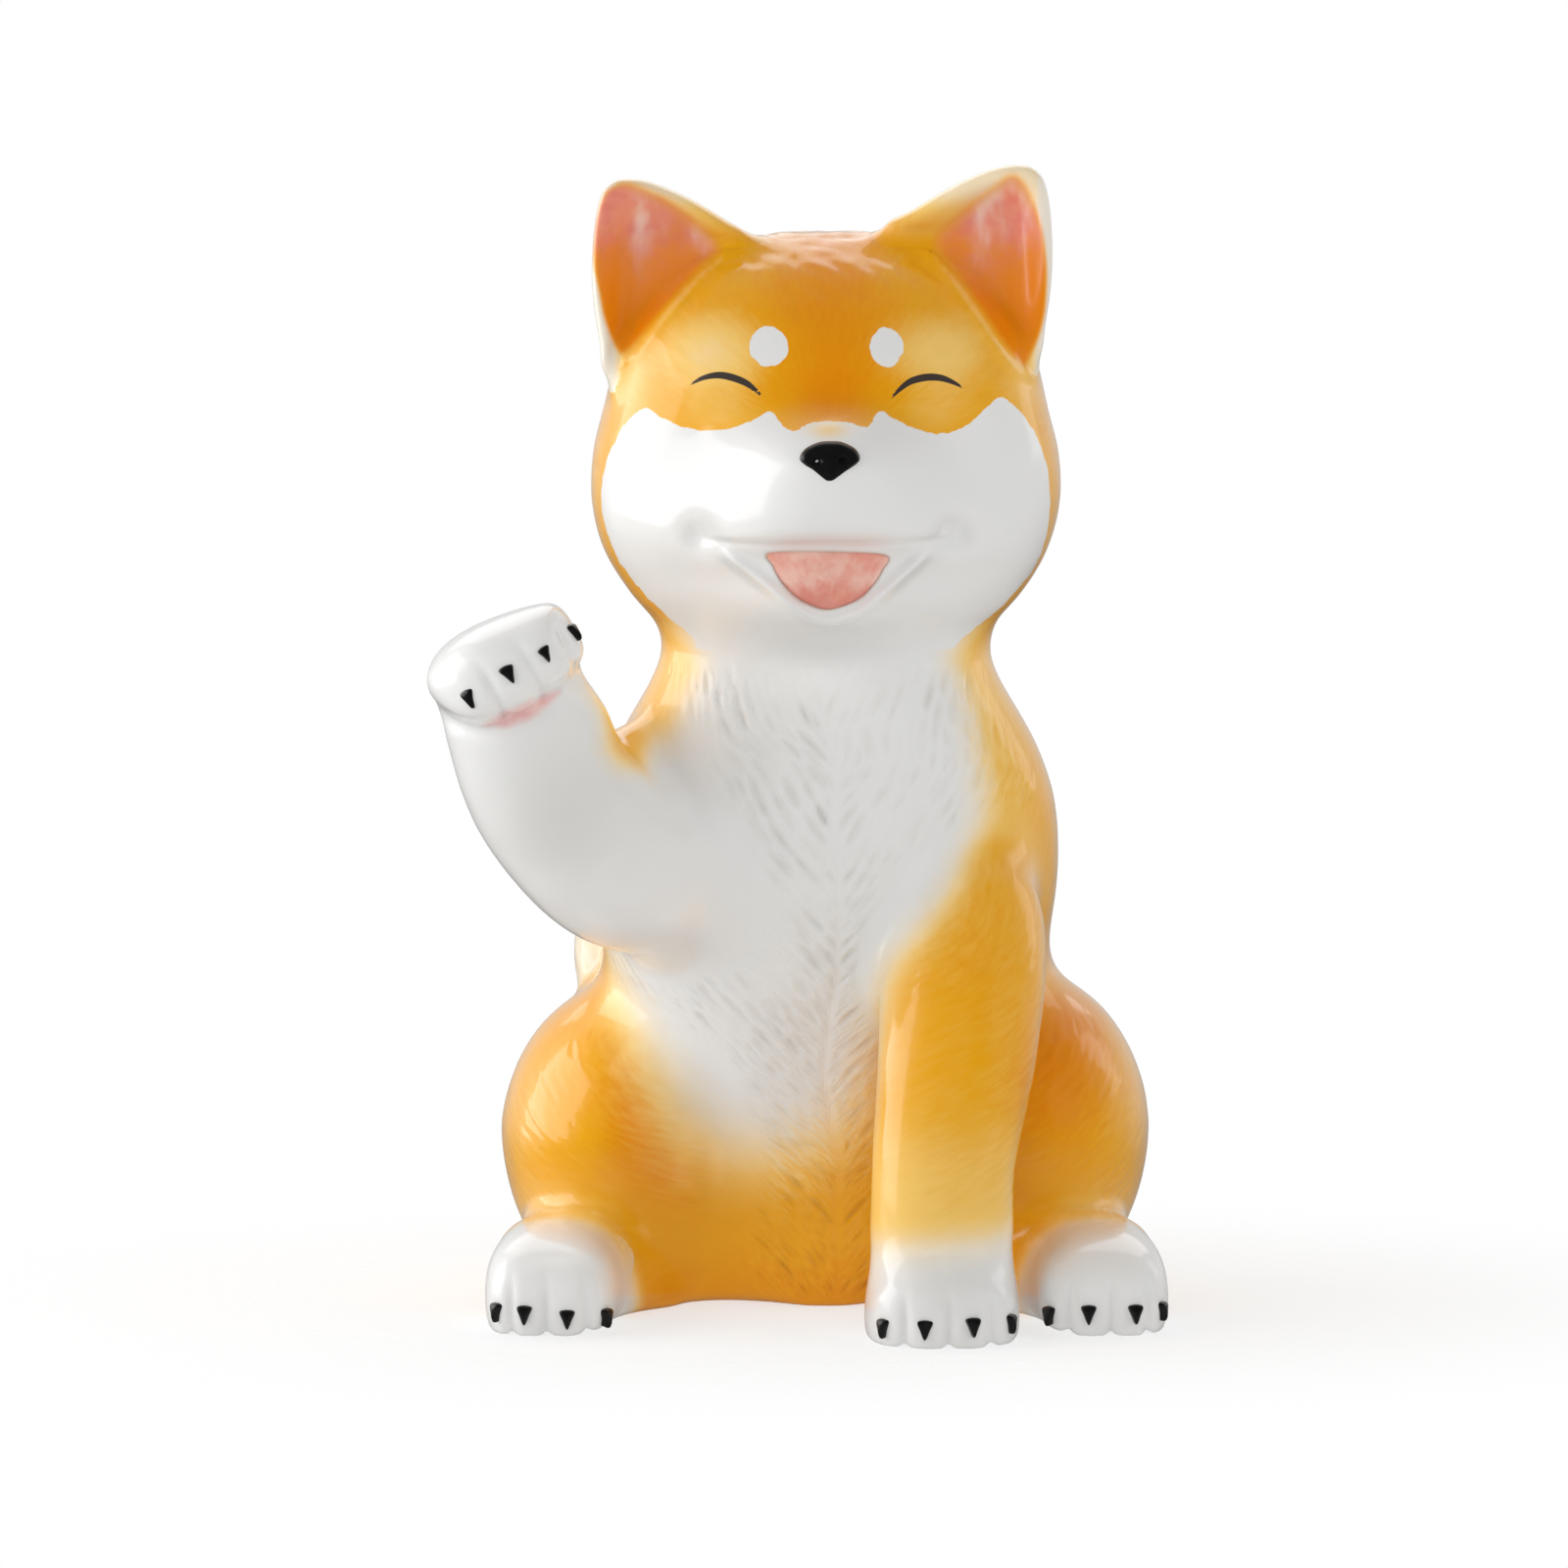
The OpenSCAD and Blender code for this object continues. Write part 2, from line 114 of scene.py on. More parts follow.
# Height, half the width, reach to the front and reach to the back
TORSO = [
    [-3.5, 48.8, 15, 70.2],
    [7, 52.5, 19, 73.3],
    [24.4, 56.7, 22, 77.2],
    [45.2, 58.6, 27, 78],
    [69.6, 58.3, 35.5, 74.1],
    [94, 58.9, 45, 65.5],
    [114.8, 61, 50, 56.9],
    [134, 59.5, 49, 49.9],
    [148.8, 54, 45, 44.5],
    [163.6, 45.5, 39, 39],
    [174, 41.5, 35, 36],
]
HEAD = [
    [174, 41.5, 35, 36],
    [179.3, 44.8, 41.8, 40.2],
    [186.7, 51.2, 47.9, 45.7],
    [197.3, 57.7, 51.7, 50.6],
    [210, 61, 54.2, 53.9],
    [222.8, 60.7, 55, 55],
    [235.5, 57.7, 53.9, 53.4],
    [246.1, 55.2, 50.1, 49.5],
    [255.6, 52.5, 43.5, 44],
    [264.1, 47, 34.7, 37.4],
    [271.5, 38.4, 24.2, 29.2],
    [276.8, 27.5, 12.1, 20.9],
    [280, 12.2, 1.1, 13.2],
]
# Outline of an ear, as shares of its width and height
EAR_OUTLINE = [
    [-0.5, -0.06],
    [-0.38, 0.25],
    [-0.2, 0.6],
    [0.02, 0.9],
    [0.17, 1],
    [0.29, 0.86],
    [0.38, 0.56],
    [0.44, 0.2],
    [0.48, -0.15],
    [0.2, -0.5],
    [-0.25, -0.5],
]
# Share of that outline and depth of each ring, from the hollow over the rim to the back
EAR_PROFILE = [
    [0.06, 4.5],
    [0.35, 4],
    [0.6, 1.8],
    [0.82, -3.4],
    [0.91, -4.5],
    [0.985, -3.1],
    [1, -0.5],
    [0.96, 5.3],
    [0.8, 10.2],
    [0.5, 13.8],
    [0.1, 15],
]
EAR_W = 55
EAR_H = 36
EAR_Y = -17
EAR_TURN = -45
ARM_HAND = np.array([-81, -57, 172])
# Places along each limb, with its radius there
ARM = [
    [-30.5, -25, 114.8, 22],
    [-52.5, -38, 119.2, 22.7],
    [-69.1, -48.2, 136.8, 22],
    [-77, -53, 156.2, 20.9],
    [-80.1, -56.1, 168, 19.6],
]
LEG = [
    [34.2, -10, 125.3, 16.7],
    [35.4, -38, 99.2, 21.1],
    [33.6, -55.9, 72.2, 20.4],
    [29.9, -62.2, 44, 18.3],
    [29.5, -64, 20, 18.5],
    [29.5, -64, 8, 18.1],
]
TAIL = [
    [0, 62.4, 30.6, 13.2],
    [-7.3, 78, 45, 16.5],
    [-23.2, 80.3, 68.4, 16.5],
    [-40.3, 68.6, 86.4, 16.2],
    [-51.2, 51.5, 90, 15.2],
    [-53, 39, 77.4, 12.2],
    [-53, 34.3, 70.2, 6.6],
]
HAUNCH_X = 49
HAUNCH_Y = 18
HAUNCH_W = 73
HAUNCH_L = 104
HAUNCH_LEAN = 3
MUZZLE_Z = 216
CHIN_Z = 189
PAW_ROUND = 2.5
TOES = 4
# Degrees at which round forms are closed, just short of a point
POLE = 86


def body_rings(table, heights, sides):
    half, front, back = through(table, heights).T[:, :, None]
    a = np.linspace(0, 2 * math.pi, sides, endpoint=False)[None, :]
    x = half * keep_sign(np.cos(a), 0.9)
    y = (back - front) / 2 + (back + front) / 2 * keep_sign(np.sin(a), 0.9)
    z = np.broadcast_to(heights[:, None], x.shape)
    return np.stack([x, y, z], 2), a


def swelling(x, z, half, height):
    return np.exp(-((np.abs(x) / half) ** 2.5) - (np.abs(z) / height) ** 4)


def face_relief(x, z):
    """Reach of muzzle and chin in front of the face."""
    up = np.clip(z - MUZZLE_Z, -20, 25)
    muzzle = 23 * swelling(x, z - MUZZLE_Z, 28 * (1 - 0.018 * up), 18)
    return muzzle + 14 * swelling(x, z - CHIN_Z, 20, 9)


def torso_rings():
    rings, _ = body_rings(TORSO, np.linspace(TORSO[0][0], TORSO[-1][0], 130), 160)
    stub = rings[-1] * [0.85, 0.85, 1] + [0, 0, 14]
    return np.concatenate([rings, stub[None]])


def head_rings():
    t = np.linspace(0, 1, 150)
    foot, top = HEAD[0][0], HEAD[-1][0]
    rings, a = body_rings(HEAD, foot + (top - foot) * (1 - (1 - t) ** 1.5), 200)
    front = np.clip(-3 * np.sin(a), 0, 1)
    rings[:, :, 1] -= face_relief(rings[:, :, 0], rings[:, :, 2]) * front
    return rings


def haunch_rings(side, height):
    middle = 0.52 * height
    t = np.radians(np.linspace(-POLE, POLE, 80))[:, None]
    a = np.linspace(0, 2 * math.pi, 120, endpoint=False)[None, :]
    half = np.where(t < 0, middle + 4, height - middle)
    lean = HAUNCH_LEAN * np.maximum(np.sin(t), 0)
    x = side * (HAUNCH_X - lean) + HAUNCH_W / 2 * np.cos(t) * np.cos(a)
    y = HAUNCH_Y + HAUNCH_L / 2 * np.cos(t) * np.sin(a)
    z = np.broadcast_to(middle + half * np.sin(t), x.shape)
    return np.stack([x, y, z], 2)


def limb_rings(route, away, steps=16, sides=72):
    """Round limb through points that carry their radius."""
    curve = spline(route, steps)
    points, radius = curve[:, :3], curve[:, 3]
    ahead = np.gradient(points, axis=0)
    ahead /= np.linalg.norm(ahead, axis=1)[:, None]
    side = np.cross(away, ahead)
    side /= np.linalg.norm(side, axis=1)[:, None]
    up = np.cross(ahead, side)
    a = np.linspace(0, 2 * math.pi, sides, endpoint=False)[None, :, None]
    around = np.cos(a) * side[:, None] + np.sin(a) * up[:, None]
    return points[:, None] + radius[:, None, None] * around


def paw_share(v, squareness=PAW_ROUND):
    return np.clip(1 - np.abs(v) ** squareness, 0, 1) ** (1 / squareness)


def paw_rings(width, reach, heel, half, squareness):
    v = np.sin(np.radians(np.linspace(-POLE, POLE, 56)))[:, None]
    a = np.linspace(0, 2 * math.pi, 200, endpoint=False)[None, :]
    s = paw_share(v)
    square = np.where(np.sin(a) < 0, squareness, PAW_ROUND)
    u = keep_sign(np.cos(a), 2 / square)
    d = keep_sign(np.sin(a), 2 / square)
    x = width / 2 * s * u
    y = np.where(d < 0, reach * s * d, heel * s * d)
    z = np.broadcast_to(half * v, x.shape)
    return np.stack([x, y, z], 2)


def turned(points, axis, degrees):
    c, s = math.cos(math.radians(degrees)), math.sin(math.radians(degrees))
    x, y, z = np.moveaxis(points, -1, 0)
    if axis == "Z":
        return np.stack([c * x - s * y, s * x + c * y, z], -1)
    return np.stack([c * x + s * z, y, c * z - s * x], -1)


def ear_rings(side, x, drop):
    outline = spline(EAR_OUTLINE, 12, closed=True)
    profile = spline(EAR_PROFILE, 5)
    middle = np.array([0.06, 0.3])
    q = middle + profile[:, None, :1] * (outline[None] - middle)
    y = profile[:, None, 1] + 12 * (2 * np.maximum(q[..., 0], 0)) ** 2
    rings = turned(np.stack([EAR_W * q[..., 0], y, EAR_H * q[..., 1]], 2), "Y", EAR_TURN)
    if side > 0:
        rings[..., 0] *= -1
    return rings + np.array([side * x, EAR_Y, HEAD[-1][0] - drop])


# Outline of the right fillet on the floor, and the share of it at each height
BASE_WEB = [
    [-62, -42],
    [-55, -51],
    [-50.5, -48.5],
    [-45.5, -35.5],
    [-37, -21.5],
    [-29, -12.5],
    [-18, -6],
    [-10, 8],
    [-20, 30],
    [-62, 30],
]
WEB_LEVELS = [
    [-3, 1],
    [0, 1],
    [5, 0.98],
    [10, 0.93],
    [15, 0.86],
    [20, 0.77],
    [25, 0.66],
    [30, 0.52],
    [35, 0.3],
]


def web_rings(side):
    """Low fillet in the corner between a hind paw and the base."""
    outline = spline(BASE_WEB, 8, closed=True)
    middle = np.array([-58, 5])
    rings = []
    for z, share in WEB_LEVELS:
        ring = middle + share * (outline - middle)
        rings.append(np.stack([-side * ring[:, 0], ring[:, 1], np.full(len(ring), z)], 1))
    return np.array(rings)


# Places along the web from the raised leg to the chest, with its radius there
SHOULDER_WEB = [
    [-46, -16, 130, 12],
    [-51, -24, 141, 14],
    [-54, -30, 146, 11],
    [-55, -33, 150, 7],
]

# Width, reach to the front and to the heel, half the height, squareness, turn, tilt and place of each paw
PAWS = {
    "raised": (43, 25, 22.5, 13.5, PAW_ROUND, 9, -28, ARM_HAND),
    "standing": (41, 28, 22.2, 16.3, PAW_ROUND, 0, 0, [29.5, -64, 7.7]),
    "left_hind": (37, 43, 34.4, 17.7, 3.8, 3.5, 0, [68.5, -27, 8.3]),
    "right_hind": (37, 43, 34.4, 17.7, 3.8, -3.5, 0, [-68.5, -27, 8.3]),
}
# Each claw moved sideways and down from the middle of its toe
CLAW_SHIFTS = {
    "raised": [[2.2, 1.8], [1.8, 0.8], [1.8, 0.8], [2, 0.6]],
    "standing": [[1.4, 2.6], [0.8, 2.2], [2, 1.6], [0.6, 1.8]],
    "left_hind": [[1, 2.8], [0.7, 2], [2.9, 2], [0.2, 2]],
    "right_hind": [[1.4, 2], [-1.2, 2.2], [-0.1, 3.2], [-0.5, 3.4]],
}


def placed(name, points):
    turn, tilt, middle = PAWS[name][5:]
    return turned(turned(points, "Z", turn), "Y", tilt) + np.array(middle)


def in_paw(name, points):
    """Points as seen from the middle of a paw."""
    turn, tilt, middle = PAWS[name][5:]
    return turned(turned(points - np.array(middle), "Y", -tilt), "Z", -turn)


def claw_places(name):
    """Places of the claws across a paw."""
    width = PAWS[name][0]
    shifts = enumerate(CLAW_SHIFTS[name])
    return [1.06 * width / 2 * ((k + 0.5) / TOES * 2 - 1) + aside for k, (aside, _) in shifts]


def paw(name):
    return placed(name, paw_rings(*PAWS[name][:5]))


def hand_shape(points):
    """The raised paw drawn in at its inner end and flattened on top."""
    x, _, z = np.moveaxis(points, -1, 0)
    inward = 2.8 * smoothstep(-75, -61, x) * smoothstep(158, 172, z)
    lift = -smoothstep(170, 186, z) * (0.9 + 1.1 * bell(x + 79, 9))
    return points + np.stack([-inward, 0 * x, lift], -1)


# Each form with the width over which its joint to another form is rounded
FORMS = {
    "torso": (torso_rings(), 20),
    "head": (head_rings(), 9),
    "left_ear": (ear_rings(1, 35.5, 15.5), 6),
    "right_ear": (ear_rings(-1, 37.5, 19), 6),
    "raised_foreleg": (limb_rings(ARM, [0, 1, 0]), 13),
    "raised_paw": (paw("raised"), 4),
    "standing_foreleg": (limb_rings(LEG, [0, 1, 0]), 11),
    "standing_paw": (paw("standing"), 8),
    "left_haunch": (haunch_rings(1, 88), 18),
    "right_haunch": (haunch_rings(-1, 85), 18),
    "left_hind_paw": (paw("left_hind"), 20),
    "right_hind_paw": (paw("right_hind"), 20),
    "tail": (limb_rings(TAIL, [1, 0, 0]), 5),
    "shoulder_web": (limb_rings(SHOULDER_WEB, [0, 1, 0]), 26),
    "left_base_web": (web_rings(1), 20),
    "right_base_web": (web_rings(-1), 20),
}
# Webs belong to the pieces named here, and these joints have widths of their own
OWNERS = {"shoulder_web": "raised_foreleg", "left_base_web": "torso", "right_base_web": "torso"}
CLOSE_JOINTS = {
    ("left_haunch", "left_hind_paw"): 5,
    ("right_haunch", "right_hind_paw"): 5,
    ("standing_paw", "left_hind_paw"): 3,
    ("standing_foreleg", "left_haunch"): 5,
    ("standing_foreleg", "left_hind_paw"): 3,
    ("shoulder_web", "torso"): 26,
    ("shoulder_web", "raised_foreleg"): 26,
}
NAMES = list(FORMS)


def mesh_object(name, verts, faces):
    mesh = bpy.data.meshes.new(name)
    mesh.from_pydata(verts, [], faces)
    obj = bpy.data.objects.new(name, mesh)
    bpy.context.scene.collection.objects.link(obj)
    return obj


def only(obj):
    bpy.ops.object.select_all(action="DESELECT")
    obj.select_set(True)
    bpy.context.view_layer.objects.active = obj


def joined(objects):
    bpy.ops.object.select_all(action="DESELECT")
    for obj in objects:
        obj.select_set(True)
    bpy.context.view_layer.objects.active = objects[0]
    bpy.ops.object.join()
    return objects[0]


def form_object(name, rings):
    """A closed mesh over a stack of rings, cut off at the floor."""
    count, sides = rings.shape[:2]
    i = np.arange(count - 1)[:, None] * sides
    j = np.arange(sides)[None, :]
    k = (j + 1) % sides
    quads = np.stack([i + j, i + k, i + k + sides, i + j + sides], 2).reshape(-1, 4)
    ends = [list(range(sides))[::-1], [(count - 1) * sides + n for n in range(sides)]]
    obj = mesh_object(name, (rings.reshape(-1, 3) * MM).tolist(), quads.tolist() + ends)
    only(obj)
    bpy.ops.object.mode_set(mode="EDIT")
    bpy.ops.mesh.select_all(action="SELECT")
    if rings[..., 2].min() < 0:
        bpy.ops.mesh.bisect(plane_co=(0, 0, 0), plane_no=(0, 0, 1), use_fill=True, clear_inner=True)
        bpy.ops.mesh.select_all(action="SELECT")
    bpy.ops.mesh.normals_make_consistent(inside=False)
    bpy.ops.object.mode_set(mode="OBJECT")
    return obj


def vertex_array(mesh):
    flat = np.empty(len(mesh.vertices) * 3)
    mesh.vertices.foreach_get("co", flat)
    return flat.reshape(-1, 3) / MM


# The forms are joined into one skin
forms, trees = [], {}
for name, (rings, _) in FORMS.items():
    obj = form_object("form_" + name, rings)
    bm = bmesh.new()
    bm.from_mesh(obj.data)
    trees[name] = BVHTree.FromBMesh(bm)
    bm.free()
    forms.append(obj)

skin = joined(forms)
skin.name = "skin"
skin.data.remesh_voxel_size = VOXEL * MM
bpy.ops.object.voxel_remesh()

co = vertex_array(skin.data)
edges = np.empty(len(skin.data.edges) * 2, int)
skin.data.edges.foreach_get("vertices", edges)
edges = edges.reshape(-1, 2)
quads = np.empty(len(skin.data.loops), int)
skin.data.loops.foreach_get("vertex_index", quads)
quads = quads.reshape(-1, 4)
degree = np.bincount(edges.ravel(), minlength=len(co))

# Neighbours of each point of the skin, a row to a point, filled up with the point itself
ends = np.concatenate([edges, edges[:, ::-1]])
ends = ends[np.argsort(ends[:, 0], kind="stable")]
first = np.concatenate([[0], np.cumsum(degree)[:-1]])
nth = np.arange(degree.max())[None, :]
beside = ends[:, 1][np.minimum(first[:, None] + nth, len(ends) - 1)]
beside = np.where(nth < degree[:, None], beside, np.arange(len(co))[:, None])


def smoothed(values, weight, times):
    """Points drawn towards the mean of their neighbours, by a weight for each point."""
    values = values.copy()
    own = np.nonzero(weight > 0.002)[0]
    around = beside[own]
    missing = (beside.shape[1] - degree[own])[:, None]
    for _ in range(times):
        mean = (values[around].sum(1) - missing * values[own]) / degree[own][:, None]
        values[own] += weight[own][:, None] * (mean - values[own])
    return values


# Distance of each point of the skin from each form
FAR = 20.0
near = np.full((len(co), len(NAMES)), FAR)
points = (co * MM).tolist()
for n, name in enumerate(NAMES):
    rings = FORMS[name][0].reshape(-1, 3)
    inside = np.all((co > rings.min(0) - FAR) & (co < rings.max(0) + FAR), axis=1)
    find = trees[name].find_nearest
    for v in np.nonzero(inside)[0]:
        hit = find(points[v], FAR * MM)
        if hit[0] is not None:
            near[v, n] = hit[3] / MM

# The form that each point belongs to, and how near it lies to a joint
label = near.argmin(1)
widths = np.array([FORMS[name][1] for name in NAMES], float)
joint = np.minimum(widths[:, None], widths[None, :])
for (one, other), width in CLOSE_JOINTS.items():
    one, other = NAMES.index(one), NAMES.index(other)
    joint[one, other] = joint[other, one] = width
crease = smoothstep(1, 0, near / joint[label])
crease[np.arange(len(co)), label] = 0
crease = crease.max(1)
for web, owner in OWNERS.items():
    label[label == NAMES.index(web)] = NAMES.index(owner)
NAMES = [name for name in NAMES if name not in OWNERS]

USUAL_GRAIN = 0.8


def rounds(count):
    """Rounds of smoothing, counted for a usual grain, that reach equally far at any grain."""
    return int(count * (USUAL_GRAIN / VOXEL) ** 2)


def is_part(*names):
    """Which points of the skin belong to the named forms."""
    return np.isin(label, [NAMES.index(n) for n in names])


on_ear = is_part("left_ear", "right_ear")
on_head = is_part("head", "left_ear", "right_ear")
on_arm = is_part("raised_foreleg", "raised_paw")
on_leg = is_part("standing_foreleg", "standing_paw")

# Joints are rounded, more so at the throat and the raised shoulder
co = smoothed(co, np.full(len(co), 0.5), 4)
co = smoothed(co, 0.7 * crease, rounds(260))
throat = is_part("head", "torso") * smoothstep(-20, -32, co[:, 1]) * bell(co[:, 2] - 177, 9)
co = smoothed(co, 0.7 * throat, rounds(160))
shoulder = bell(np.linalg.norm(co - [-50, -32, 153], axis=1), 11)
co = smoothed(co, 0.7 * shoulder, rounds(140))
co = smoothed(co, np.full(len(co), 0.5), 3)

# Relief of the face, given as outlines in X and Z
LIP = [
    [-32, 203.9],
    [-27, 203],
    [-16, 202.7],
    [0, 203.3],
    [15.5, 203],
    [26.5, 203.3],
    [32.3, 204.5],
]
JAW = [
    [-28, 201.3],
    [-21, 196.1],
    [-13.5, 190.3],
    [-6, 184.5],
    [1, 182.1],
    [8, 184.5],
    [15.3, 190.5],
    [21.6, 196],
    [27.2, 201.3],
]
MOUTH = [
    [-14.4, 200.5],
    [1, 201],
    [14.9, 199.7],
    [14, 195.7],
    [11.5, 191.7],
    [7.8, 188.2],
    [1.1, 185.7],
    [-3.4, 186.5],
    [-7.9, 189],
    [-11.4, 192.8],
    [-13.6, 197],
]


def segments(outline, closed):
    p = np.array(outline, float)
    return (p, np.roll(p, -1, 0)) if closed else (p[:-1], p[1:])


def distance(x, z, outline, closed=False):
    """Distance of points from an outline in X and Z, and the nearest place as a share of its length."""
    start, end = segments(outline, closed)
    best = np.full(x.shape, 1e9)
    share = np.zeros(x.shape)
    for n, (a, b) in enumerate(zip(start, end)):
        d = b - a
        t = np.clip(((x - a[0]) * d[0] + (z - a[1]) * d[1]) / (d @ d), 0, 1)
        r = np.hypot(x - a[0] - t * d[0], z - a[1] - t * d[1])
        share = np.where(r < best, (n + t) / len(start), share)
        best = np.minimum(best, r)
    return best, share


def inside_distance(x, z, outline):
    """Distance from a closed outline, positive inside it."""
    inside = np.zeros(x.shape, bool)
    for a, b in zip(*segments(outline, True)):
        crosses = (a[1] > z) != (b[1] > z)
        run = np.where(b[1] == a[1], 1, b[1] - a[1])
        inside ^= crosses & (x < a[0] + (z - a[1]) / run * (b[0] - a[0]))
    d, _ = distance(x, z, outline, True)
    return np.where(inside, d, -d)


def inside_curve(x, z, outline, steps):
    """Distance from a smooth curve through a closed outline, positive inside it."""
    return inside_distance(x, z, spline(outline, steps, closed=True))


def inside_ears(x, z):
    return np.maximum(*(inside_curve(x, z, cup, 4) for cup in CUPS))


def highest(*shares):
    return np.maximum.reduce(shares)


def lattice(u, v, seed):
    """Smooth random values from 0 to 1, about one swell per unit."""
    iu, iv = np.floor(u), np.floor(v)
    fu, fv = u - iu, v - iv
    fu, fv = fu * fu * (3 - 2 * fu), fv * fv * (3 - 2 * fv)
    iu, iv = iu.astype(np.int64), iv.astype(np.int64)

    def corner(a, b):
        h = ((iu + a) * 374761393 + (iv + b) * 668265263 + seed * 144269504) & 0xFFFFFFFF
        h = ((h ^ (h >> 13)) * 1274126177) & 0xFFFFFFFF
        return (h ^ (h >> 16)) / 0xFFFFFFFF

    low = corner(0, 0) * (1 - fu) + corner(1, 0) * fu
    high = corner(0, 1) * (1 - fu) + corner(1, 1) * fu
    return low * (1 - fv) + high * fv


def normals_of(points):
    skin.data.vertices.foreach_set("co", (points * MM).ravel())
    skin.data.update()
    flat = np.empty(len(points) * 3)
    skin.data.vertex_normals.foreach_get("vector", flat)
    return flat.reshape(-1, 3)


def front_of_head(points):
    forward = smoothstep(-0.05, -0.3, normals_of(points)[:, 1])
    return is_part("head") * smoothstep(-30, -40, points[:, 1]) * forward


jaw = spline(JAW, 6)
lip = spline(LIP, 6)
open_jaw = np.concatenate([jaw, lip[::-1]])

# The open jaw is drawn flat between its lips
x, y, z = co.T
between_lips = smoothstep(-1.5, 1.5, inside_distance(x, z, open_jaw))
co = smoothed(co, 0.7 * front_of_head(co) * between_lips, rounds(320))
face = front_of_head(co)
normal = normals_of(co)
plain_face = co[(face > 0.2) & (np.abs(co[:, 0]) < 26) & (co[:, 2] < 212)]
x, y, z = co.T

below_lip = np.interp(x, *np.array(LIP).T) - z
in_jaw = inside_distance(x, z, open_jaw)
from_jaw, along_jaw = distance(x, z, jaw)
from_lip, _ = distance(x, z, lip)
in_mouth = inside_curve(x, z, MOUTH, 6)

# Outline of the white mask in X and Z
MASK = [
    [-46.6, 235.9],
    [-43.1, 234.3],
    [-37.5, 231.9],
    [-30.1, 230.8],
    [-23.4, 232.1],
    [-17.9, 234.4],
    [-14.2, 236.2],
    [-12.1, 233.6],
    [-8.7, 231.5],
    [-5.9, 232.9],
    [-1.6, 233.9],
    [4.7, 233.8],
    [7.8, 232.9],
    [10.8, 232.9],
    [13.4, 236.3],
    [17.2, 234.2],
    [21.9, 231.8],
    [27.8, 230.3],
    [32.9, 230.7],
    [37.7, 233.4],
    [41.8, 237.1],
    [45, 238.8],
    [49.2, 235.6],
    [52.9, 230.8],
    [55.6, 225],
    [57.2, 219.7],
    [57.9, 213.9],
    [57.9, 208.7],
    [57.4, 203.4],
    [55.8, 197.6],
    [53.2, 192.4],
    [49, 187.4],
    [43.8, 182.3],
    [39.1, 178.8],
    [35.5, 176],
    [32.7, 172.2],
    [32, 159.3],
    [-33, 159.3],
    [-33.5, 173.3],
    [-35.1, 176.9],
    [-39.3, 180],
    [-43.9, 184.1],
    [-49.1, 189.7],
    [-53.3, 195.3],
    [-56.2, 201.4],
    [-57.6, 206.6],
    [-58.1, 211.8],
    [-57.7, 217],
    [-56.3, 222.8],
    [-53.7, 228.2],
    [-51.1, 232.5],
]

# Openings of the ears as seen from the front
CUPS = [
    [
        [-54, 250],
        [-57.7, 259.2],
        [-59, 268.4],
        [-59.1, 276.8],
        [-58.5, 283.5],
        [-56.4, 290.6],
        [-52.2, 293.4],
        [-47.2, 292.3],
        [-38.8, 287.7],
        [-31.3, 281],
        [-27.5, 275.8],
        [-33, 270.8],
        [-39.7, 263.8],
        [-46.4, 255.4],
        [-51, 250],
    ],
    [
        [51.9, 246.6],
        [56.1, 256.7],
        [57.2, 266.7],
        [56.9, 275.1],
        [55.2, 284.3],
        [51.8, 292.3],
        [47.9, 295.6],
        [41.6, 291.4],
        [34.1, 285.2],
        [28.6, 279.7],
        [29, 275.1],
        [34.1, 269.4],
        [40, 261],
        [45, 253.3],
        [49.6, 247.3],
    ],
]
in_cup = inside_ears(x, z)

# Upper lip over the open jaw, the ridge of the lower lip, the hollow for the tongue, and dimples
push = 0.9 * smoothstep(-0.4, 2, below_lip) * smoothstep(0, 5, in_jaw)
push += 0.7 * bell(from_lip, 0.9) * smoothstep(34, 26, np.abs(x))
push -= 0.35 * bell(below_lip + 2.6, 2.2) * smoothstep(32, 20, np.abs(x))
push -= 3.1 * bell(from_jaw, 1.6) * smoothstep(0, 0.1, along_jaw) * smoothstep(1, 0.9, along_jaw)
push += 3.4 * smoothstep(-0.4, 0.9, in_mouth)
push += 4.8 * bell(x + 32, 4.8) * bell(z - 204.6, 4.8)
push += 5.6 * bell(x - 33, 4.8) * bell(z - 204.8, 4.8)
co[:, 1] += push * face

# The ears are hollowed down into the head, with a ridge along the lower rim
brink = is_part("head") * smoothstep(-8, -16, y) * smoothstep(0.1, -0.1, normal[:, 1])
co[:, 1] += brink * (3.2 * smoothstep(-0.5, 8, in_cup) - 1.2 * bell(in_cup + 1.6, 1.8))
hollow = on_head * smoothstep(-6, -12, y) * smoothstep(0.6, 0.2, normal[:, 1])
co = smoothed(co, 0.6 * hollow * smoothstep(0.3, 2.5, in_cup), rounds(70))
x, y, z = co.T

# The raised paw is shaped, with a fold below it around the wrist
FOLD = [[-104, 163], [-98.8, 159], [-92.9, 156.6], [-85.4, 156.6], [-75.4, 160], [-68.1, 165], [-60, 171]]
co = np.where(on_arm[:, None], hand_shape(co), co)
x, y, z = co.T
from_fold, _ = distance(x, z, spline(FOLD, 5))
above_fold = z - np.interp(x, *np.array(FOLD).T)
fold = 1.5 * bell(from_fold, 2.2) - 0.9 * bell(above_fold - 6, 5)
co -= normal * (on_arm * fold * smoothstep(-55, -66, y))[:, None]
x, y, z = co.T

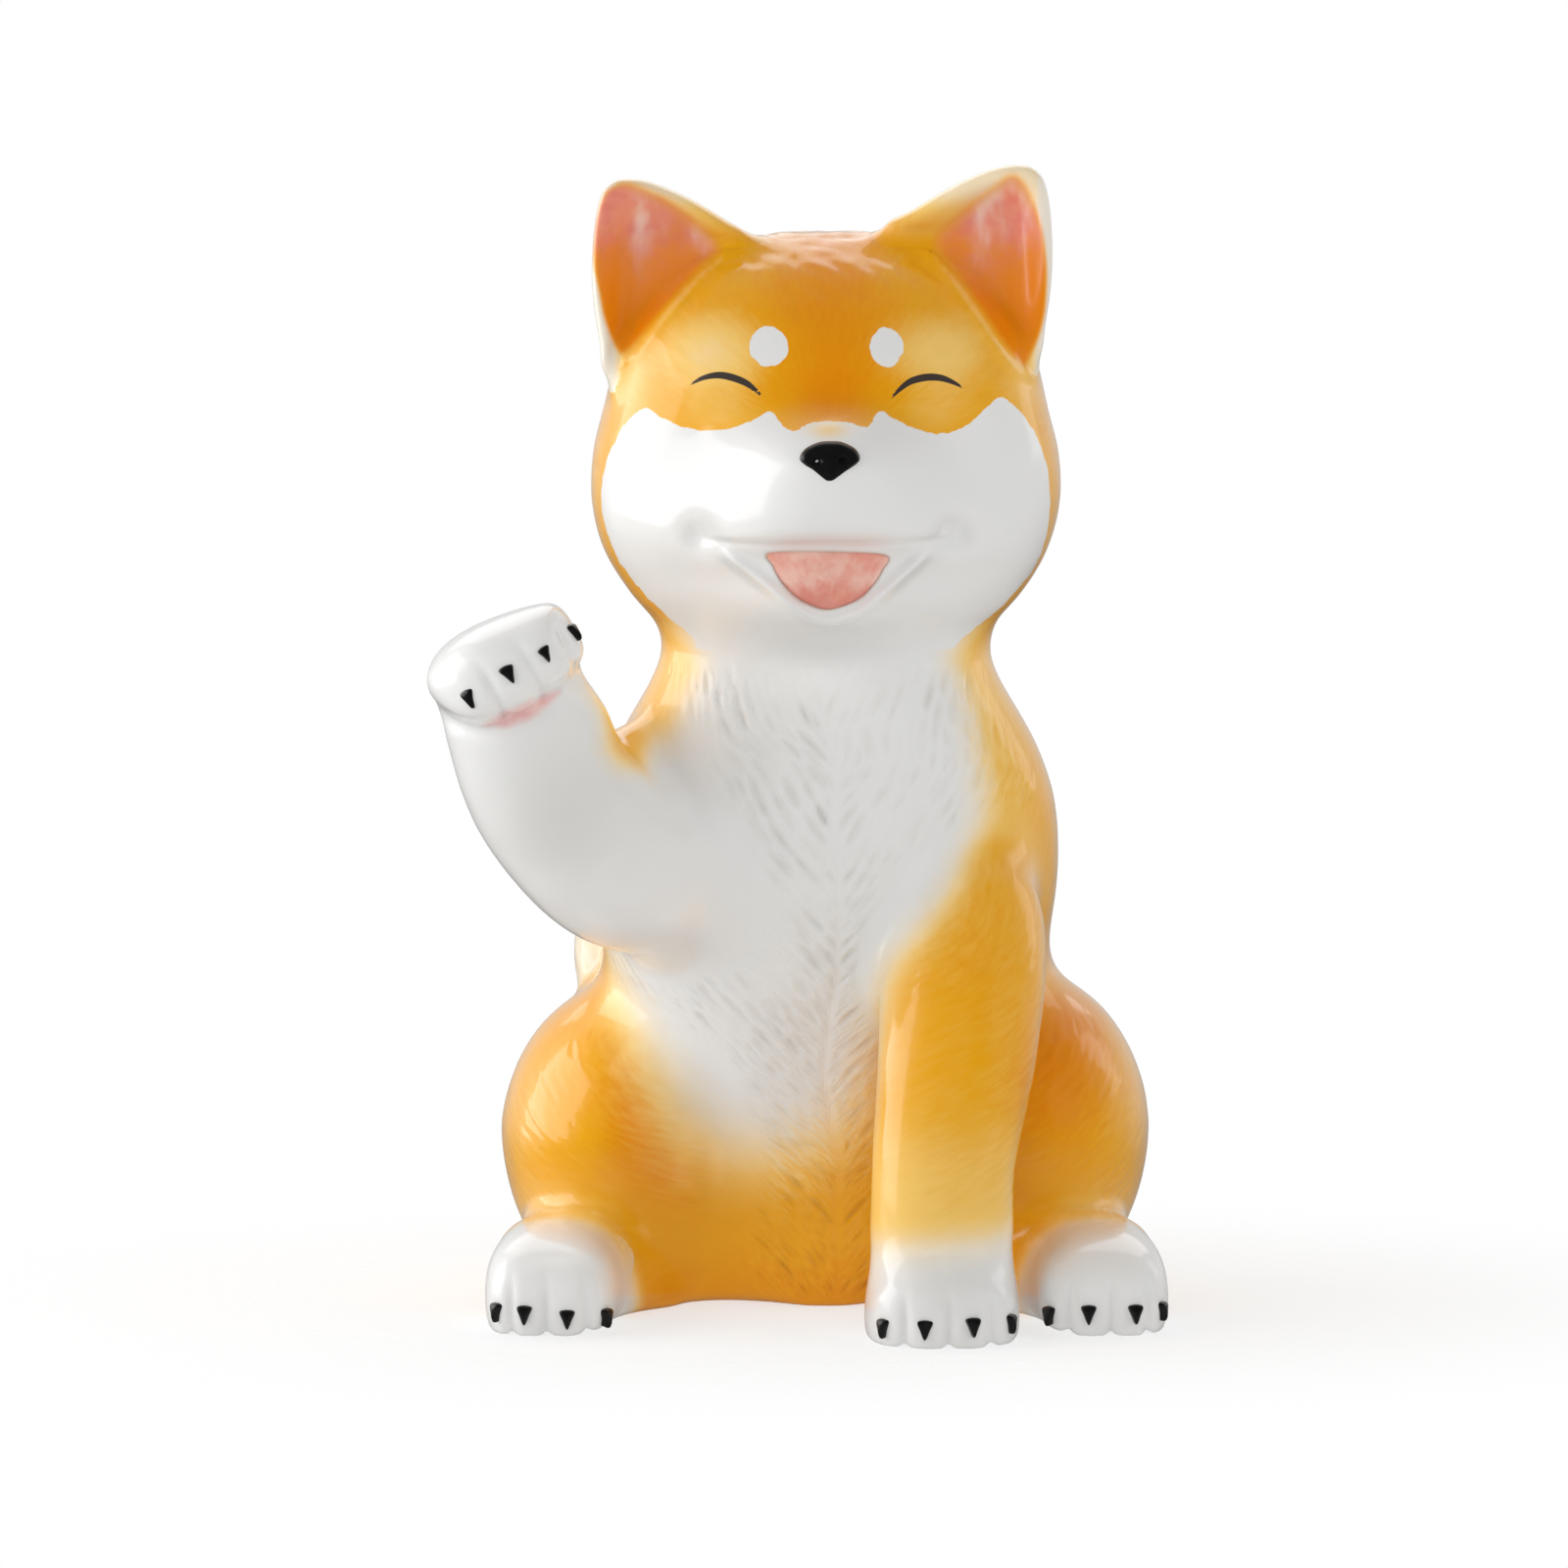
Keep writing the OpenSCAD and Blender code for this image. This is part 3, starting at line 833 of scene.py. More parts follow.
# Grooves between the toes
toes = np.zeros(len(co))
for name, (_, reach, _, half, *_) in PAWS.items():
    px, py, pz = in_paw(name, co).T
    own = is_part(name + "_paw") * smoothstep(-0.3 * reach, -0.55 * reach, py)
    own = own * smoothstep(0.6, -0.15, pz / half)
    own = own * (0.9 if name == "raised" else 1)
    claws = claw_places(name)
    for one, other in zip(claws, claws[1:]):
        toes += own * 1.15 * bell(px - (one + other) / 2, 1.2)
    for one in claws:
        toes -= own * 0.35 * bell(px - one, 3)
co -= normal * toes[:, None]
x, y, z = co.T

# Strokes of the coat, combed down and towards the middle of the front, and outwards over the face
COMB_X = 1
COMB_Z = 226
parting = 1.5 + 5 * (lattice(z / 13, 0 * z, 13) - 0.5)
round_body = np.abs(52 * np.arctan2(x - parting, 15 - y))
heights = np.linspace(-5, 320, 651)
slant = np.interp(heights, [0, 40, 70, 110, 150, 180], [50, 48, 44, 34, 27, 22])
fall = np.concatenate([[0], np.cumsum(0.5 * np.tan(np.radians(slant[1:])))])
warp = 1.2 * lattice(x / 17, z / 17, 3)
on_face = on_head & (z > 184) & (y < -4)
from_nose = np.hypot(x - COMB_X, np.hypot(z - COMB_Z, 0.6 * (y + 60)))
along = np.where(on_face, from_nose, 0.8 * z + 0.6 * round_body)
across_face = 34 * np.arctan2(x - COMB_X, z - COMB_Z)
across_body = 0.85 * (round_body - np.interp(z, heights, fall))
across = np.where(on_face, across_face, across_body) + warp
apart = 0.03 * x


def dabs(width, length, seed):
    """Tapered strokes, one to a cell, each at its own place and strength."""
    column = np.floor(across / width)
    place = along / length + lattice(column, 0 * column, seed) * 7 + 3 * np.floor(apart)
    row = np.floor(place)
    strength = smoothstep(0.3, 0.8, lattice(column + 0.5, row + 0.5, seed + 1))
    shift = 0.5 * (lattice(column + 0.5, row + 0.5, seed + 2) - 0.5)
    aside = across / width - column - 0.5 - shift
    taper = np.sin(math.pi * (place - row)) ** 0.7
    return strength * bell(aside, 0.24 * taper + 0.02) * taper


comb = 0.9 * dabs(3.4, 11, 20) + 0.6 * dabs(2.4, 7, 30) - 0.2
front = smoothstep(-0.1, -0.7, normal[:, 1])
furry = is_part("torso") * (0.06 + 0.94 * front) * smoothstep(175, 160, z)
furry = furry * (1 - 0.35 * smoothstep(0, 12, x - parting) * smoothstep(60, 100, z))
furry = furry * (1 - 0.9 * smoothstep(10, 16, x) * smoothstep(112, 102, z))
bare = inside_curve(x, z, MASK, 3) * (y < 0)
furry = highest(
    furry,
    is_part("left_haunch", "right_haunch") * (0.1 + 0.25 * front),
    is_part("standing_foreleg") * 0.2 * smoothstep(24, 44, z) * smoothstep(18, 28, x),
    is_part("tail") * 0.5,
    is_part("left_hind_paw", "right_hind_paw") * 0.5 * smoothstep(-34, -22, y),
    is_part("head") * 0.15 * smoothstep(1, -3, bare),
)
furry = furry * smoothstep(0.5, 6, z) * smoothstep(0, 2, np.abs(x - parting))
furry = furry * (1 - 0.8 * is_part("head") * bell(y + 4, 6))
furry = furry * (1 - 0.95 * smoothstep(0.1, 0.8, crease))
patchy = smoothstep(0.2, 0.75, lattice(x / 15, z / 15 + 0.05 * y, 5) + 0.2)
crown = is_part("head") * smoothstep(0.25, 0.6, normal[:, 2]) * smoothstep(262, 272, z)
scallop = lattice(x / 4.6 + 0.2 * y, (y - z) / 3.6, 9) + 0.6 * lattice(x / 2.6, (y - z) / 2.2, 10) - 0.8
ripple = lattice((x + 0.6 * y) / 9, (z + 0.4 * y) / 11, 7)
ripple = ripple + lattice((x - 0.7 * y) / 6, (z - 0.3 * y) / 7, 8) - 1
away = 1.05 * comb * furry * patchy + 0.4 * crown * scallop + 0.12 * ripple * smoothstep(1, 6, z)
co -= normal * away[:, None]

# The drain hole in the base
DRAIN_R = 14
DRAIN_Y = 38
DRAIN_DEPTH = 18
drain = smoothstep(DRAIN_R, 13.2, np.hypot(x, y - DRAIN_Y)) * smoothstep(0.6, 0.2, z)
co[:, 2] += DRAIN_DEPTH * drain

# The skin stays inside the CAD box
low, high = (np.array(c) / MM for c in cad_box)
co = np.clip(co, low + BOX_GAP, high - BOX_GAP)
normal = normals_of(co)

# Painting, as distances and shares that each point of the skin carries
BIB = [
    [-33, 182],
    [32, 182],
    [33, 171],
    [36.4, 163.8],
    [38.7, 155],
    [40, 146],
    [41, 137.8],
    [40.4, 129],
    [36.6, 116.4],
    [31.7, 108.2],
    [25.7, 100.8],
    [18.7, 92.4],
    [15.4, 83.3],
    [12, 66],
    [4, 52],
    [-10, 44],
    [-24, 44],
    [-35, 51],
    [-41.4, 61.8],
    [-49.2, 74.7],
    [-55.7, 89],
    [-64, 104],
    [-60, 140],
    [-44, 151],
    [-38.3, 158.6],
    [-35.2, 164.6],
    [-33.2, 170.4],
]
EYES = [
    [
        [-34.9, 242.3],
        [-31.7, 244.1],
        [-27.8, 244.9],
        [-24.2, 244.4],
        [-20.7, 243.1],
        [-18.3, 241.4],
        [-16.4, 239.6],
    ],
    [
        [16.4, 239.2],
        [18.8, 241.6],
        [21.6, 243.5],
        [25.5, 244.4],
        [29.1, 244.2],
        [32.2, 243.1],
        [35.1, 241.5],
    ],
]
# Middle and half sizes of each brow
BROWS = [[-14.8, 252.2, 4.9, 5], [15.4, 252.1, 4.25, 4.9]]

x, y, z = co.T
nx, ny, _ = normal.T
paint = {}
on_front = on_head & (y < 0)
facing = smoothstep(4, -8, y)
# Distance that stands for a place outside a painted outline
OUTSIDE = -20.0
paint["mask"] = np.where(on_front, inside_curve(x, z, MASK, 3), OUTSIDE)

# White of chest, belly, arm, paws and tail, as a soft share
bib = inside_curve(x, z, BIB, 3)
feather = np.interp(z, [40, 62, 90, 130, 170], [27, 22, 14, 14, 11])
white = smoothstep(-1, 1, bib / feather) * facing * ~is_part("left_ear", "right_ear", "tail")
behind_arm = is_part("torso") * smoothstep(-36, -46, x) * smoothstep(106, 116, z) * smoothstep(-26, -10, y)
white = white * (1 - behind_arm)
white = np.where(on_leg, smoothstep(-1, 1, (bib - 3) / np.minimum(feather, 11)) * facing, white)
white = np.where(on_leg, np.maximum(white, smoothstep(41, 12, z - 0.08 * (x - 30))), white)
towards_body = np.array([0.55, 0.75, 0.35])
inner = normal @ (towards_body / np.linalg.norm(towards_body))
arm_white = np.minimum(smoothstep(0.85, -0.05, inner), smoothstep(0.7, 0.1, ny))
arm_white = np.maximum(arm_white, smoothstep(150, 172, z + 0.2 * (y + 57)))
arm_white = np.maximum(arm_white, smoothstep(154, 142, z) * smoothstep(0.1, -0.4, ny))
white = np.where(on_arm, arm_white, white)
armpit = bell(x + 50, 8) * bell(z - 152, 8) * (y < 0) * is_part("raised_foreleg", "torso")
white = white * (1 - 0.8 * armpit)
from_sock = np.sqrt(((np.abs(x) - 73) / 24) ** 2 + ((y + 54) / 29) ** 2 + ((z - 5) / 25) ** 2)
white = np.where(on_leg | on_head, white, np.maximum(white, smoothstep(1.4, 0.8, from_sock)))
white = np.where(is_part("tail"), 0.6 * smoothstep(24, 84, z - 0.3 * x), white)

# Eyes as tapered brush lines, and brows as ovals
eye = np.full(len(co), OUTSIDE)
for line in EYES:
    d, t = distance(x, z, spline(line, 6))
    eye = np.maximum(eye, 0.1 + 0.82 * np.sin(math.pi * np.clip(t, 0, 1)) ** 0.8 - d)
paint["eye"] = np.where(on_front, eye, OUTSIDE)
brow = np.full(len(co), OUTSIDE)
for bx, bz, rx, rz in BROWS:
    brow = np.maximum(brow, (1 - np.hypot((x - bx) / rx, (z - bz) / rz)) * rx)
paint["brow"] = np.where(on_front, brow, OUTSIDE)

# Ears, flushed inside, with pale rims, and a painted highlight along the ridge of the lower rim
in_cup = inside_ears(x, z) + 1.5 * bell(x + 61, 6) * smoothstep(262, 276, z)
listening = on_head * smoothstep(0, -6, y) * smoothstep(0.5, 0.1, ny)
upper = smoothstep(268, 282, z) * smoothstep(57, 48, np.abs(x))
paint["ear"] = listening * smoothstep(0, 1, (in_cup + 0.6 + 1.4 * upper) / (2 + 4 * upper))
paint["ear_height"] = (z - 248) / 46
# Painted highlight: a pale line along the ridge of each ear's lower rim
rim_highlight = listening * bell(in_cup + 1.4, 1.1) * (1 - upper)
tip = on_ear * smoothstep(2, -1, in_cup) * smoothstep(270, 290, z) * smoothstep(0.6, 0, ny)
outer_rim = listening * on_ear * smoothstep(1.4, -0.4, in_cup) * smoothstep(50, 56, np.abs(x))

# Pink pad under the raised paw
PAD = [
    [-88, 157],
    [-83, 156.6],
    [-76.8, 158.3],
    [-72.5, 160.6],
    [-67.5, 166],
    [-73.5, 164.4],
    [-78, 163],
    [-82.5, 160.6],
]
pad = inside_curve(x, z, PAD, 4)
paint["pad"] = np.where(on_arm & (y < -55), pad, OUTSIDE)

# Where the orange is deep, on the forehead, behind, in the folds and near the floor
body = ~on_head
deep = highest(
    0.7 * bell(x - 1, 20) * smoothstep(233, 240, z) * smoothstep(0.5, -0.3, ny) * on_head,
    on_front * bell(x - 1, 12) * bell(z - 241, 10),
    body * bell(x + 45, 15) * bell(z - 52, 22) * smoothstep(0.2, -0.4, ny),
    body * bell(x - 62, 15) * bell(z - 64, 22) * smoothstep(0.2, -0.4, ny),
    0.3 * on_leg * bell(x - 38, 13) * bell(z - 95, 24),
    0.55 * body * smoothstep(24, 4, z),
    0.4 * smoothstep(0.2, 0.8, ny),
)

# Where it is pale: at the sides, where surfaces facing sideways are partly airbrushed paler and partly
# carry a painted reflection, around the eyes, on the standing leg and beside the white
aside = np.abs(x)
pale = highest(
    # Paler on surfaces facing sideways: part airbrush, part painted reflection of the side lamps
    0.35 * smoothstep(0.4, 1, np.abs(nx)),
    on_front * bell(aside - 29, 13) * bell(z - 250, 10),
    0.6 * on_front * bell(aside - 28, 12) * bell(z - 237, 7),
    0.6 * on_front * bell(aside - 52, 9) * bell(z - 244, 16),
    on_leg * (0.3 + 0.5 * smoothstep(66, 36, z)),
    0.6 * body * ~on_leg * smoothstep(44, 26, z) * bell(aside - 70, 17),
    0.6 * is_part("torso") * bell(bib + 8, 10) * facing * smoothstep(60, 100, z),
)
# Painted highlight: the left brow is painted whiter, as if lit by the lamp on the left
white = np.maximum(white, 0.42 * on_front * bell(x + 30, 12) * bell(z - 250, 9))
white, deep, pale = smoothed(np.stack([white, deep, pale], 1), np.full(len(co), 0.6), rounds(40)).T
paint["deep"] = deep
# The pale share carries the painted highlight along the ears' lower rims
paint["pale"] = highest(pale, 0.55 * rim_highlight, 0.8 * tip)
paint["white"] = highest(white, 0.7 * outer_rim, 0.55 * tip * smoothstep(280, 292, z))

# Soft marks around nose and mouth, and what the coat's strokes and their grooves follow
smudge = np.exp(-(((x - 0.4) / 4.6) ** 2) - ((z - 232) / 1.9) ** 2)
paint["smudge"] = np.where(on_front, smudge, 0)
paint["blush"] = face * bell(below_lip + 0.4, 2) * smoothstep(21, 8, np.abs(x))
paint["line"] = face * bell(in_mouth + 0.1, 0.45)
paint["across"] = across / 1.15
paint["along"] = along / 4.5
paint["apart"] = apart * 2
paint["furry"] = np.maximum(furry, 0.5 * crown)
# Painted shade in the grooves of the coat's strokes
paint["groove"] = np.clip(comb + 0.2, 0, 1) * furry * patchy
# Grey painted shade on the raised foreleg's inner side near the chest, and on the front of the standing paw
painted_shade = is_part("raised_foreleg") * bell(x + 67, 20) * bell(z - 134, 22) * smoothstep(0.2, -0.5, ny)
paint["painted_shade"] = np.maximum(painted_shade, 0.6 * is_part("standing_paw") * bell(x - 30, 14) * smoothstep(0, -0.7, ny))

# The skin is parted along the joints, and each part is closed behind its joints
votes = np.zeros((len(co), len(NAMES)))
for _ in range(6):
    for n in range(len(NAMES)):
        has = (label == n).astype(float)
        votes[:, n] = np.bincount(edges[:, 0], has[edges[:, 1]], len(co))
        votes[:, n] += np.bincount(edges[:, 1], has[edges[:, 0]], len(co)) + 0.5 * has
    label = votes.argmax(1)
corners = np.sort(label[quads], 1)
part = np.where(
    corners[:, 1] == corners[:, 2],
    corners[:, 1],
    np.where(corners[:, 0] == corners[:, 1], corners[:, 0], corners[:, 2]),
)


def new_material(name):
    material = bpy.data.materials.new(name)
    material.use_nodes = True
    return material


def finish_piece(obj, node, material):
    obj.data.materials.clear()
    obj.data.materials.append(material)
    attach(obj, "root")
    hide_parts(node)


def skin_piece(name, faces):
    """A part of the skin with its paint, closed behind and shaded as the whole skin is."""
    used, index = np.unique(faces, return_inverse=True)
    obj = mesh_object(name + "_skin", (co[used] * MM).tolist(), index.reshape(-1, 4).tolist())
    bm = bmesh.new()
    bm.from_mesh(obj.data)
    outer = len(bm.faces)
    bounds = [e for e in bm.edges if e.is_boundary]
    filled = bmesh.ops.holes_fill(bm, edges=bounds, sides=0)["faces"]
    bmesh.ops.poke(bm, faces=filled)
    bm.to_mesh(obj.data)
    bm.free()
    mesh = obj.data
    smooth = np.ones(len(mesh.polygons), bool)
    smooth[outer:] = False
    mesh.polygons.foreach_set("use_smooth", smooth)
    for key, values in paint.items():
        data = np.zeros(len(mesh.vertices), np.float32)
        data[: len(used)] = values[used]
        mesh.attributes.new(key, "FLOAT", "POINT").data.foreach_set("value", data)
    corner_point = np.empty(len(mesh.loops), int)
    mesh.loops.foreach_get("vertex_index", corner_point)
    face_normal = np.empty(len(mesh.polygons) * 3)
    mesh.polygons.foreach_get("normal", face_normal)
    count = np.empty(len(mesh.polygons), int)
    mesh.polygons.foreach_get("loop_total", count)
    corner_normal = np.repeat(face_normal.reshape(-1, 3), count, axis=0)
    outer_corners = 4 * outer
    corner_normal[:outer_corners] = normal[used[corner_point[:outer_corners]]]
    mesh.normals_split_custom_set(corner_normal.tolist())
    return obj


glaze = new_material("painted_glaze")
for n, name in enumerate(NAMES):
    obj = skin_piece(name, quads[part == n])
    finish_piece(obj, name, glaze)
bpy.data.objects.remove(skin)


def closed_rings(name, rings):
    """A smooth piece over a stack of rings."""
    obj = form_object(name, rings)
    only(obj)
    bpy.ops.object.shade_smooth_by_angle(angle=math.radians(50))
    return obj


def shrunk(outline, share, middle):
    return middle + share * (outline - middle)


def with_y(outline, depth):
    return np.stack([outline[:, 0], np.broadcast_to(depth, len(outline)), outline[:, 1]], 1)


def face_depth(px, pz):
    """Place of the plain face along Y at points in X and Z."""
    gap = (px[:, None] - plain_face[:, 0]) ** 2 + (pz[:, None] - plain_face[:, 2]) ** 2
    nearest = np.argpartition(gap, 8, axis=1)[:, :8]
    weight = 1 / (np.take_along_axis(gap, nearest, 1) + 0.1)
    return (weight * plain_face[nearest, 1]).sum(1) / weight.sum(1)


# Tongue, with a fold down the middle, in the hollow of the mouth
TONGUE_MIDDLE = np.array([0.6, 196])
TONGUE_SHARES = (1.0, 1.01, 1.0, 0.985, 0.95, 0.9, 0.82, 0.72, 0.6, 0.48, 0.36, 0.24, 0.12, 0.02)


def tongue_rings():
    outline = spline(MOUTH, 10, closed=True)
    rings = []
    for share in TONGUE_SHARES:
        ring = shrunk(outline, min(share, 1.0), TONGUE_MIDDLE)
        px, pz = ring.T
        bulge = 0.9 * (1 - share**4)
        fold = 0.5 * bell(px - 1 + 0.15 * (pz - 196), 1.1) * smoothstep(189, 197, pz)
        knob = 0.8 * bell(np.hypot(px + 0.3, pz - 198.3), 1.7)
        wave = 0.4 * lattice(px / 4, pz / 4, 11) * (share < 0.9)
        depth = face_depth(px, pz) + 1.3 - bulge + fold - knob + wave
        if not rings:
            rings.append(with_y(ring, depth + 5))
            rings.append(with_y(ring, depth + 2.5))
        rings.append(with_y(ring, depth))
    return np.array(rings)


pink = new_material("tongue_glaze")
finish_piece(closed_rings("tongue_flesh", tongue_rings()), "tongue", pink)

# Nose, an upside-down rounded triangle with two nostrils
NOSE_X = 0.6
NOSE = [
    [-7.5, 0.3],
    [-6.2, 3],
    [-2.8, 4.7],
    [0.6, 5],
    [3.4, 4.7],
    [6.6, 3],
    [7.6, 0.3],
    [4.4, -2.6],
    [1.4, -4.9],
    [0, -5.3],
    [-1.4, -4.9],
    [-4.3, -2.6],
]
# Share of the outline and depth of each ring
NOSE_LEVELS = [
    [0.9, 5],
    [1, 2],
    [1.01, 0.2],
    [1, -0.9],
    [0.95, -1.8],
    [0.86, -2.5],
    [0.74, -3],
    [0.6, -3.3],
    [0.5, -3.45],
    [0.4, -3.55],
    [0.3, -3.6],
    [0.2, -3.65],
    [0.1, -3.7],
    [0.02, -3.7],
]


def nose_rings():
    outline = spline(NOSE, 8, closed=True) + [NOSE_X, 224.4]
    middle = np.array([NOSE_X, 224.8])
    rings = []
    for share, lift in NOSE_LEVELS:
        ring = shrunk(outline, share, middle)
        px, pz = ring.T
        level = np.interp(pz, [219, 230.5], [-76, -73])
        nostrils = sum(1.7 * bell(px - NOSE_X - 3.2 * side, 1.1) * bell(pz - 224.7, 1) for side in (-1, 1))
        rings.append(with_y(ring, level + lift + nostrils * (share < 0.95)))
    return np.array(rings)


black = new_material("black_glaze")
finish_piece(closed_rings("nose_button", nose_rings()), "nose", black)

# Claws, four on each paw, each a small upside-down wedge on the front of its toe
CLAW = [[-2, 1.5], [-0.8, 2.1], [0.8, 2.1], [2, 1.5], [1.2, -0.6], [0, -3], [-1.2, -0.6]]
CLAW_LEVELS = [[0.8, 2.5], [1, 0.3], [1, -0.4], [0.93, -1], [0.7, -1.45], [0.35, -1.65], [0.04, -1.7]]
CLAW_MIDDLE = np.array([0, 0.4])
CLAW_SPAN = 1.2


def toe_front(name, px, drop):
    """Place of a paw's front along its own Y, at a place across it and a drop below its middle."""
    width, reach, _, half, squareness = PAWS[name][:5]
    s = paw_share(np.array(drop / half))
    return -reach * s * paw_share(np.minimum(np.abs(px) / (width / 2 * s), 1), squareness)


def claw_rings(name, place, drop):
    before, after = (toe_front(name, place + step, drop) for step in (-CLAW_SPAN / 2, CLAW_SPAN / 2))
    turn = math.degrees(math.atan2(after - before, CLAW_SPAN))
    outline = spline(CLAW, 5, closed=True)
    rings = []
    for share, lift in CLAW_LEVELS:
        ring = shrunk(outline, share, CLAW_MIDDLE)
        tilt = 0.12 * (ring[:, 1] - 2)
        rings.append(with_y(ring, lift + tilt))
    rings = turned(np.array(rings), "Z", turn) + [place, toe_front(name, place, drop), -drop]
    rings = placed(name, rings)
    if name == "raised":
        rings = hand_shape(rings)
    return np.clip(rings, low + BOX_GAP, high - BOX_GAP)


for name, shifts in CLAW_SHIFTS.items():
    claws = []
    for k, (place, (_, drop)) in enumerate(zip(claw_places(name), shifts)):
        claws.append(closed_rings(name + "_claw_" + str(k), claw_rings(name, place, drop)))
    row = joined(claws)
    row.name = name + "_claw_row"
    finish_piece(row, name + "_claws", black)


# Glazes
class Shader:
    """Short names for the nodes of a material."""

    def __init__(self, material):
        self.tree = material.node_tree
        self.surface = self.tree.nodes["Principled BSDF"]

    def put(self, socket, value):
        if isinstance(value, bpy.types.NodeSocket):
            self.tree.links.new(value, socket)
        elif isinstance(value, tuple) and len(value) == 3 and socket.type == "RGBA":
            socket.default_value = (*value, 1)
        else:
            socket.default_value = value

    def set(self, name, value):
        self.put(self.surface.inputs[name], value)

    def share(self, name):
        node = self.tree.nodes.new("ShaderNodeAttribute")
        node.attribute_name = name
        return node.outputs["Fac"]

    def maths(self, operation, a, b):
        node = self.tree.nodes.new("ShaderNodeMath")
        node.operation = operation
        self.put(node.inputs[0], a)
        self.put(node.inputs[1], b)
        return node.outputs[0]

    def plus(self, a, b):
        return self.maths("ADD", a, b)

    def minus(self, a, b):
        return self.maths("SUBTRACT", a, b)

    def times(self, a, b):
        return self.maths("MULTIPLY", a, b)

    def around_zero(self, noise, strength):
        return self.times(self.minus(noise, 0.5), strength)

    def step(self, value, low, high):
        node = self.tree.nodes.new("ShaderNodeMapRange")
        node.interpolation_type = "SMOOTHSTEP"
        self.put(node.inputs["Value"], value)
        node.inputs["From Min"].default_value = low
        node.inputs["From Max"].default_value = high
        return node.outputs["Result"]

    def mix(self, share, a, b):
        node = self.tree.nodes.new("ShaderNodeMix")
        node.data_type = "RGBA"
        self.put(node.inputs["Factor"], share)
        self.put(node.inputs["A"], a)
        self.put(node.inputs["B"], b)
        return node.outputs["Result"]

    def darken(self, share, colour, tint):
        mixed = self.mix(share, colour, tint)
        mixed.node.blend_type = "MULTIPLY"
        return mixed

    def place(self, scale=(1, 1, 1), turn=(0, 0, 0)):
        coords = self.tree.nodes.new("ShaderNodeTexCoord")
        node = self.tree.nodes.new("ShaderNodeMapping")
        self.tree.links.new(coords.outputs["Object"], node.inputs["Vector"])
        node.inputs["Scale"].default_value = scale
        node.inputs["Rotation"].default_value = turn
        return node.outputs["Vector"]

    def height(self):
        coords = self.tree.nodes.new("ShaderNodeTexCoord")
        node = self.tree.nodes.new("ShaderNodeSeparateXYZ")
        self.tree.links.new(coords.outputs["Object"], node.inputs["Vector"])
        return node.outputs["Z"]

    def strokes(self):
        node = self.tree.nodes.new("ShaderNodeCombineXYZ")
        for axis, name in zip("XYZ", ("across", "along", "apart")):
            self.put(node.inputs[axis], self.share(name))
        return node.outputs["Vector"]

    def noise(self, vector, scale, detail=3, rough=0.5):
        node = self.tree.nodes.new("ShaderNodeTexNoise")
        self.put(node.inputs["Vector"], vector)
        node.inputs["Scale"].default_value = scale
        node.inputs["Detail"].default_value = detail
        node.inputs["Roughness"].default_value = rough
        return node.outputs["Fac"]

    def bump(self, height, strength, distance):
        node = self.tree.nodes.new("ShaderNodeBump")
        node.inputs["Strength"].default_value = strength
        node.inputs["Distance"].default_value = distance
        self.put(node.inputs["Height"], height)
        return node.outputs["Normal"]


# Colours of the paint
ORANGE = (0.87, 0.40, 0.005)
DEEP = (0.82, 0.265, 0.001)
PALE = (0.96, 0.62, 0.17)
CREAM = (0.92, 0.77, 0.53)
WHITE = (0.83, 0.825, 0.81)
# Grey tint of the painted shade in the grooves of the strokes
GROOVE_SHADE = (0.88, 0.865, 0.84)
# Grey tint of the painted shade on the raised foreleg and the standing paw
SHADE_TINT = (0.87, 0.865, 0.85)
BLUSH = (0.80, 0.50, 0.43)
MOUTH_LINE = (0.62, 0.40, 0.28)
EYE_BROWN = (0.055, 0.042, 0.036)
EAR_BASE = (0.86, 0.25, 0.003)
EAR_WARM = (0.83, 0.26, 0.04)
EAR_PINK = (0.86, 0.31, 0.21)
EAR_ROSE = (0.80, 0.21, 0.17)
EAR_MILK = (0.92, 0.76, 0.66)
PAD_PALE = (0.88, 0.56, 0.52)
PAD_ROSE = (0.80, 0.38, 0.37)
TONGUE_ROSE = (0.86, 0.34, 0.26)
TONGUE_PALE = (0.92, 0.55, 0.45)
TONGUE_DEEP = (0.78, 0.25, 0.19)
BLACK = (0.003, 0.003, 0.003)
BLACK_PALE = (0.009, 0.008, 0.008)
PAPER = (0.95, 0.95, 0.95)


def coat_paint(g, mottle, strand):
    """Orange, deeper and paler in places, that fades through cream into white, with painted shade in the
    stroke grooves and on the raised foreleg and standing paw.
    """
    uneven = g.around_zero(mottle, 0.5)
    shade = g.plus(g.plus(g.share("deep"), uneven), g.times(strand, 0.9))
    light = g.minus(g.plus(g.share("pale"), uneven), g.times(strand, 0.7))
    soft = g.minus(g.share("white"), g.times(strand, 0.3))
    coat = g.mix(g.step(shade, 0.0, 1.0), ORANGE, DEEP)
    coat = g.mix(g.step(light, 0.12, 1.0), coat, PALE)
    coat = g.mix(g.step(soft, 0.02, 0.45), coat, PALE)
    coat = g.mix(g.step(soft, 0.22, 0.7), coat, CREAM)
    coat = g.mix(g.step(soft, 0.42, 0.95), coat, WHITE)
    # Painted shade in the grooves of the strokes
    coat = g.darken(g.share("groove"), coat, GROOVE_SHADE)
    # Grey painted shade on the raised foreleg and the standing paw
    return g.darken(g.times(g.share("painted_shade"), g.step(mottle, 0.2, 0.6)), coat, SHADE_TINT)


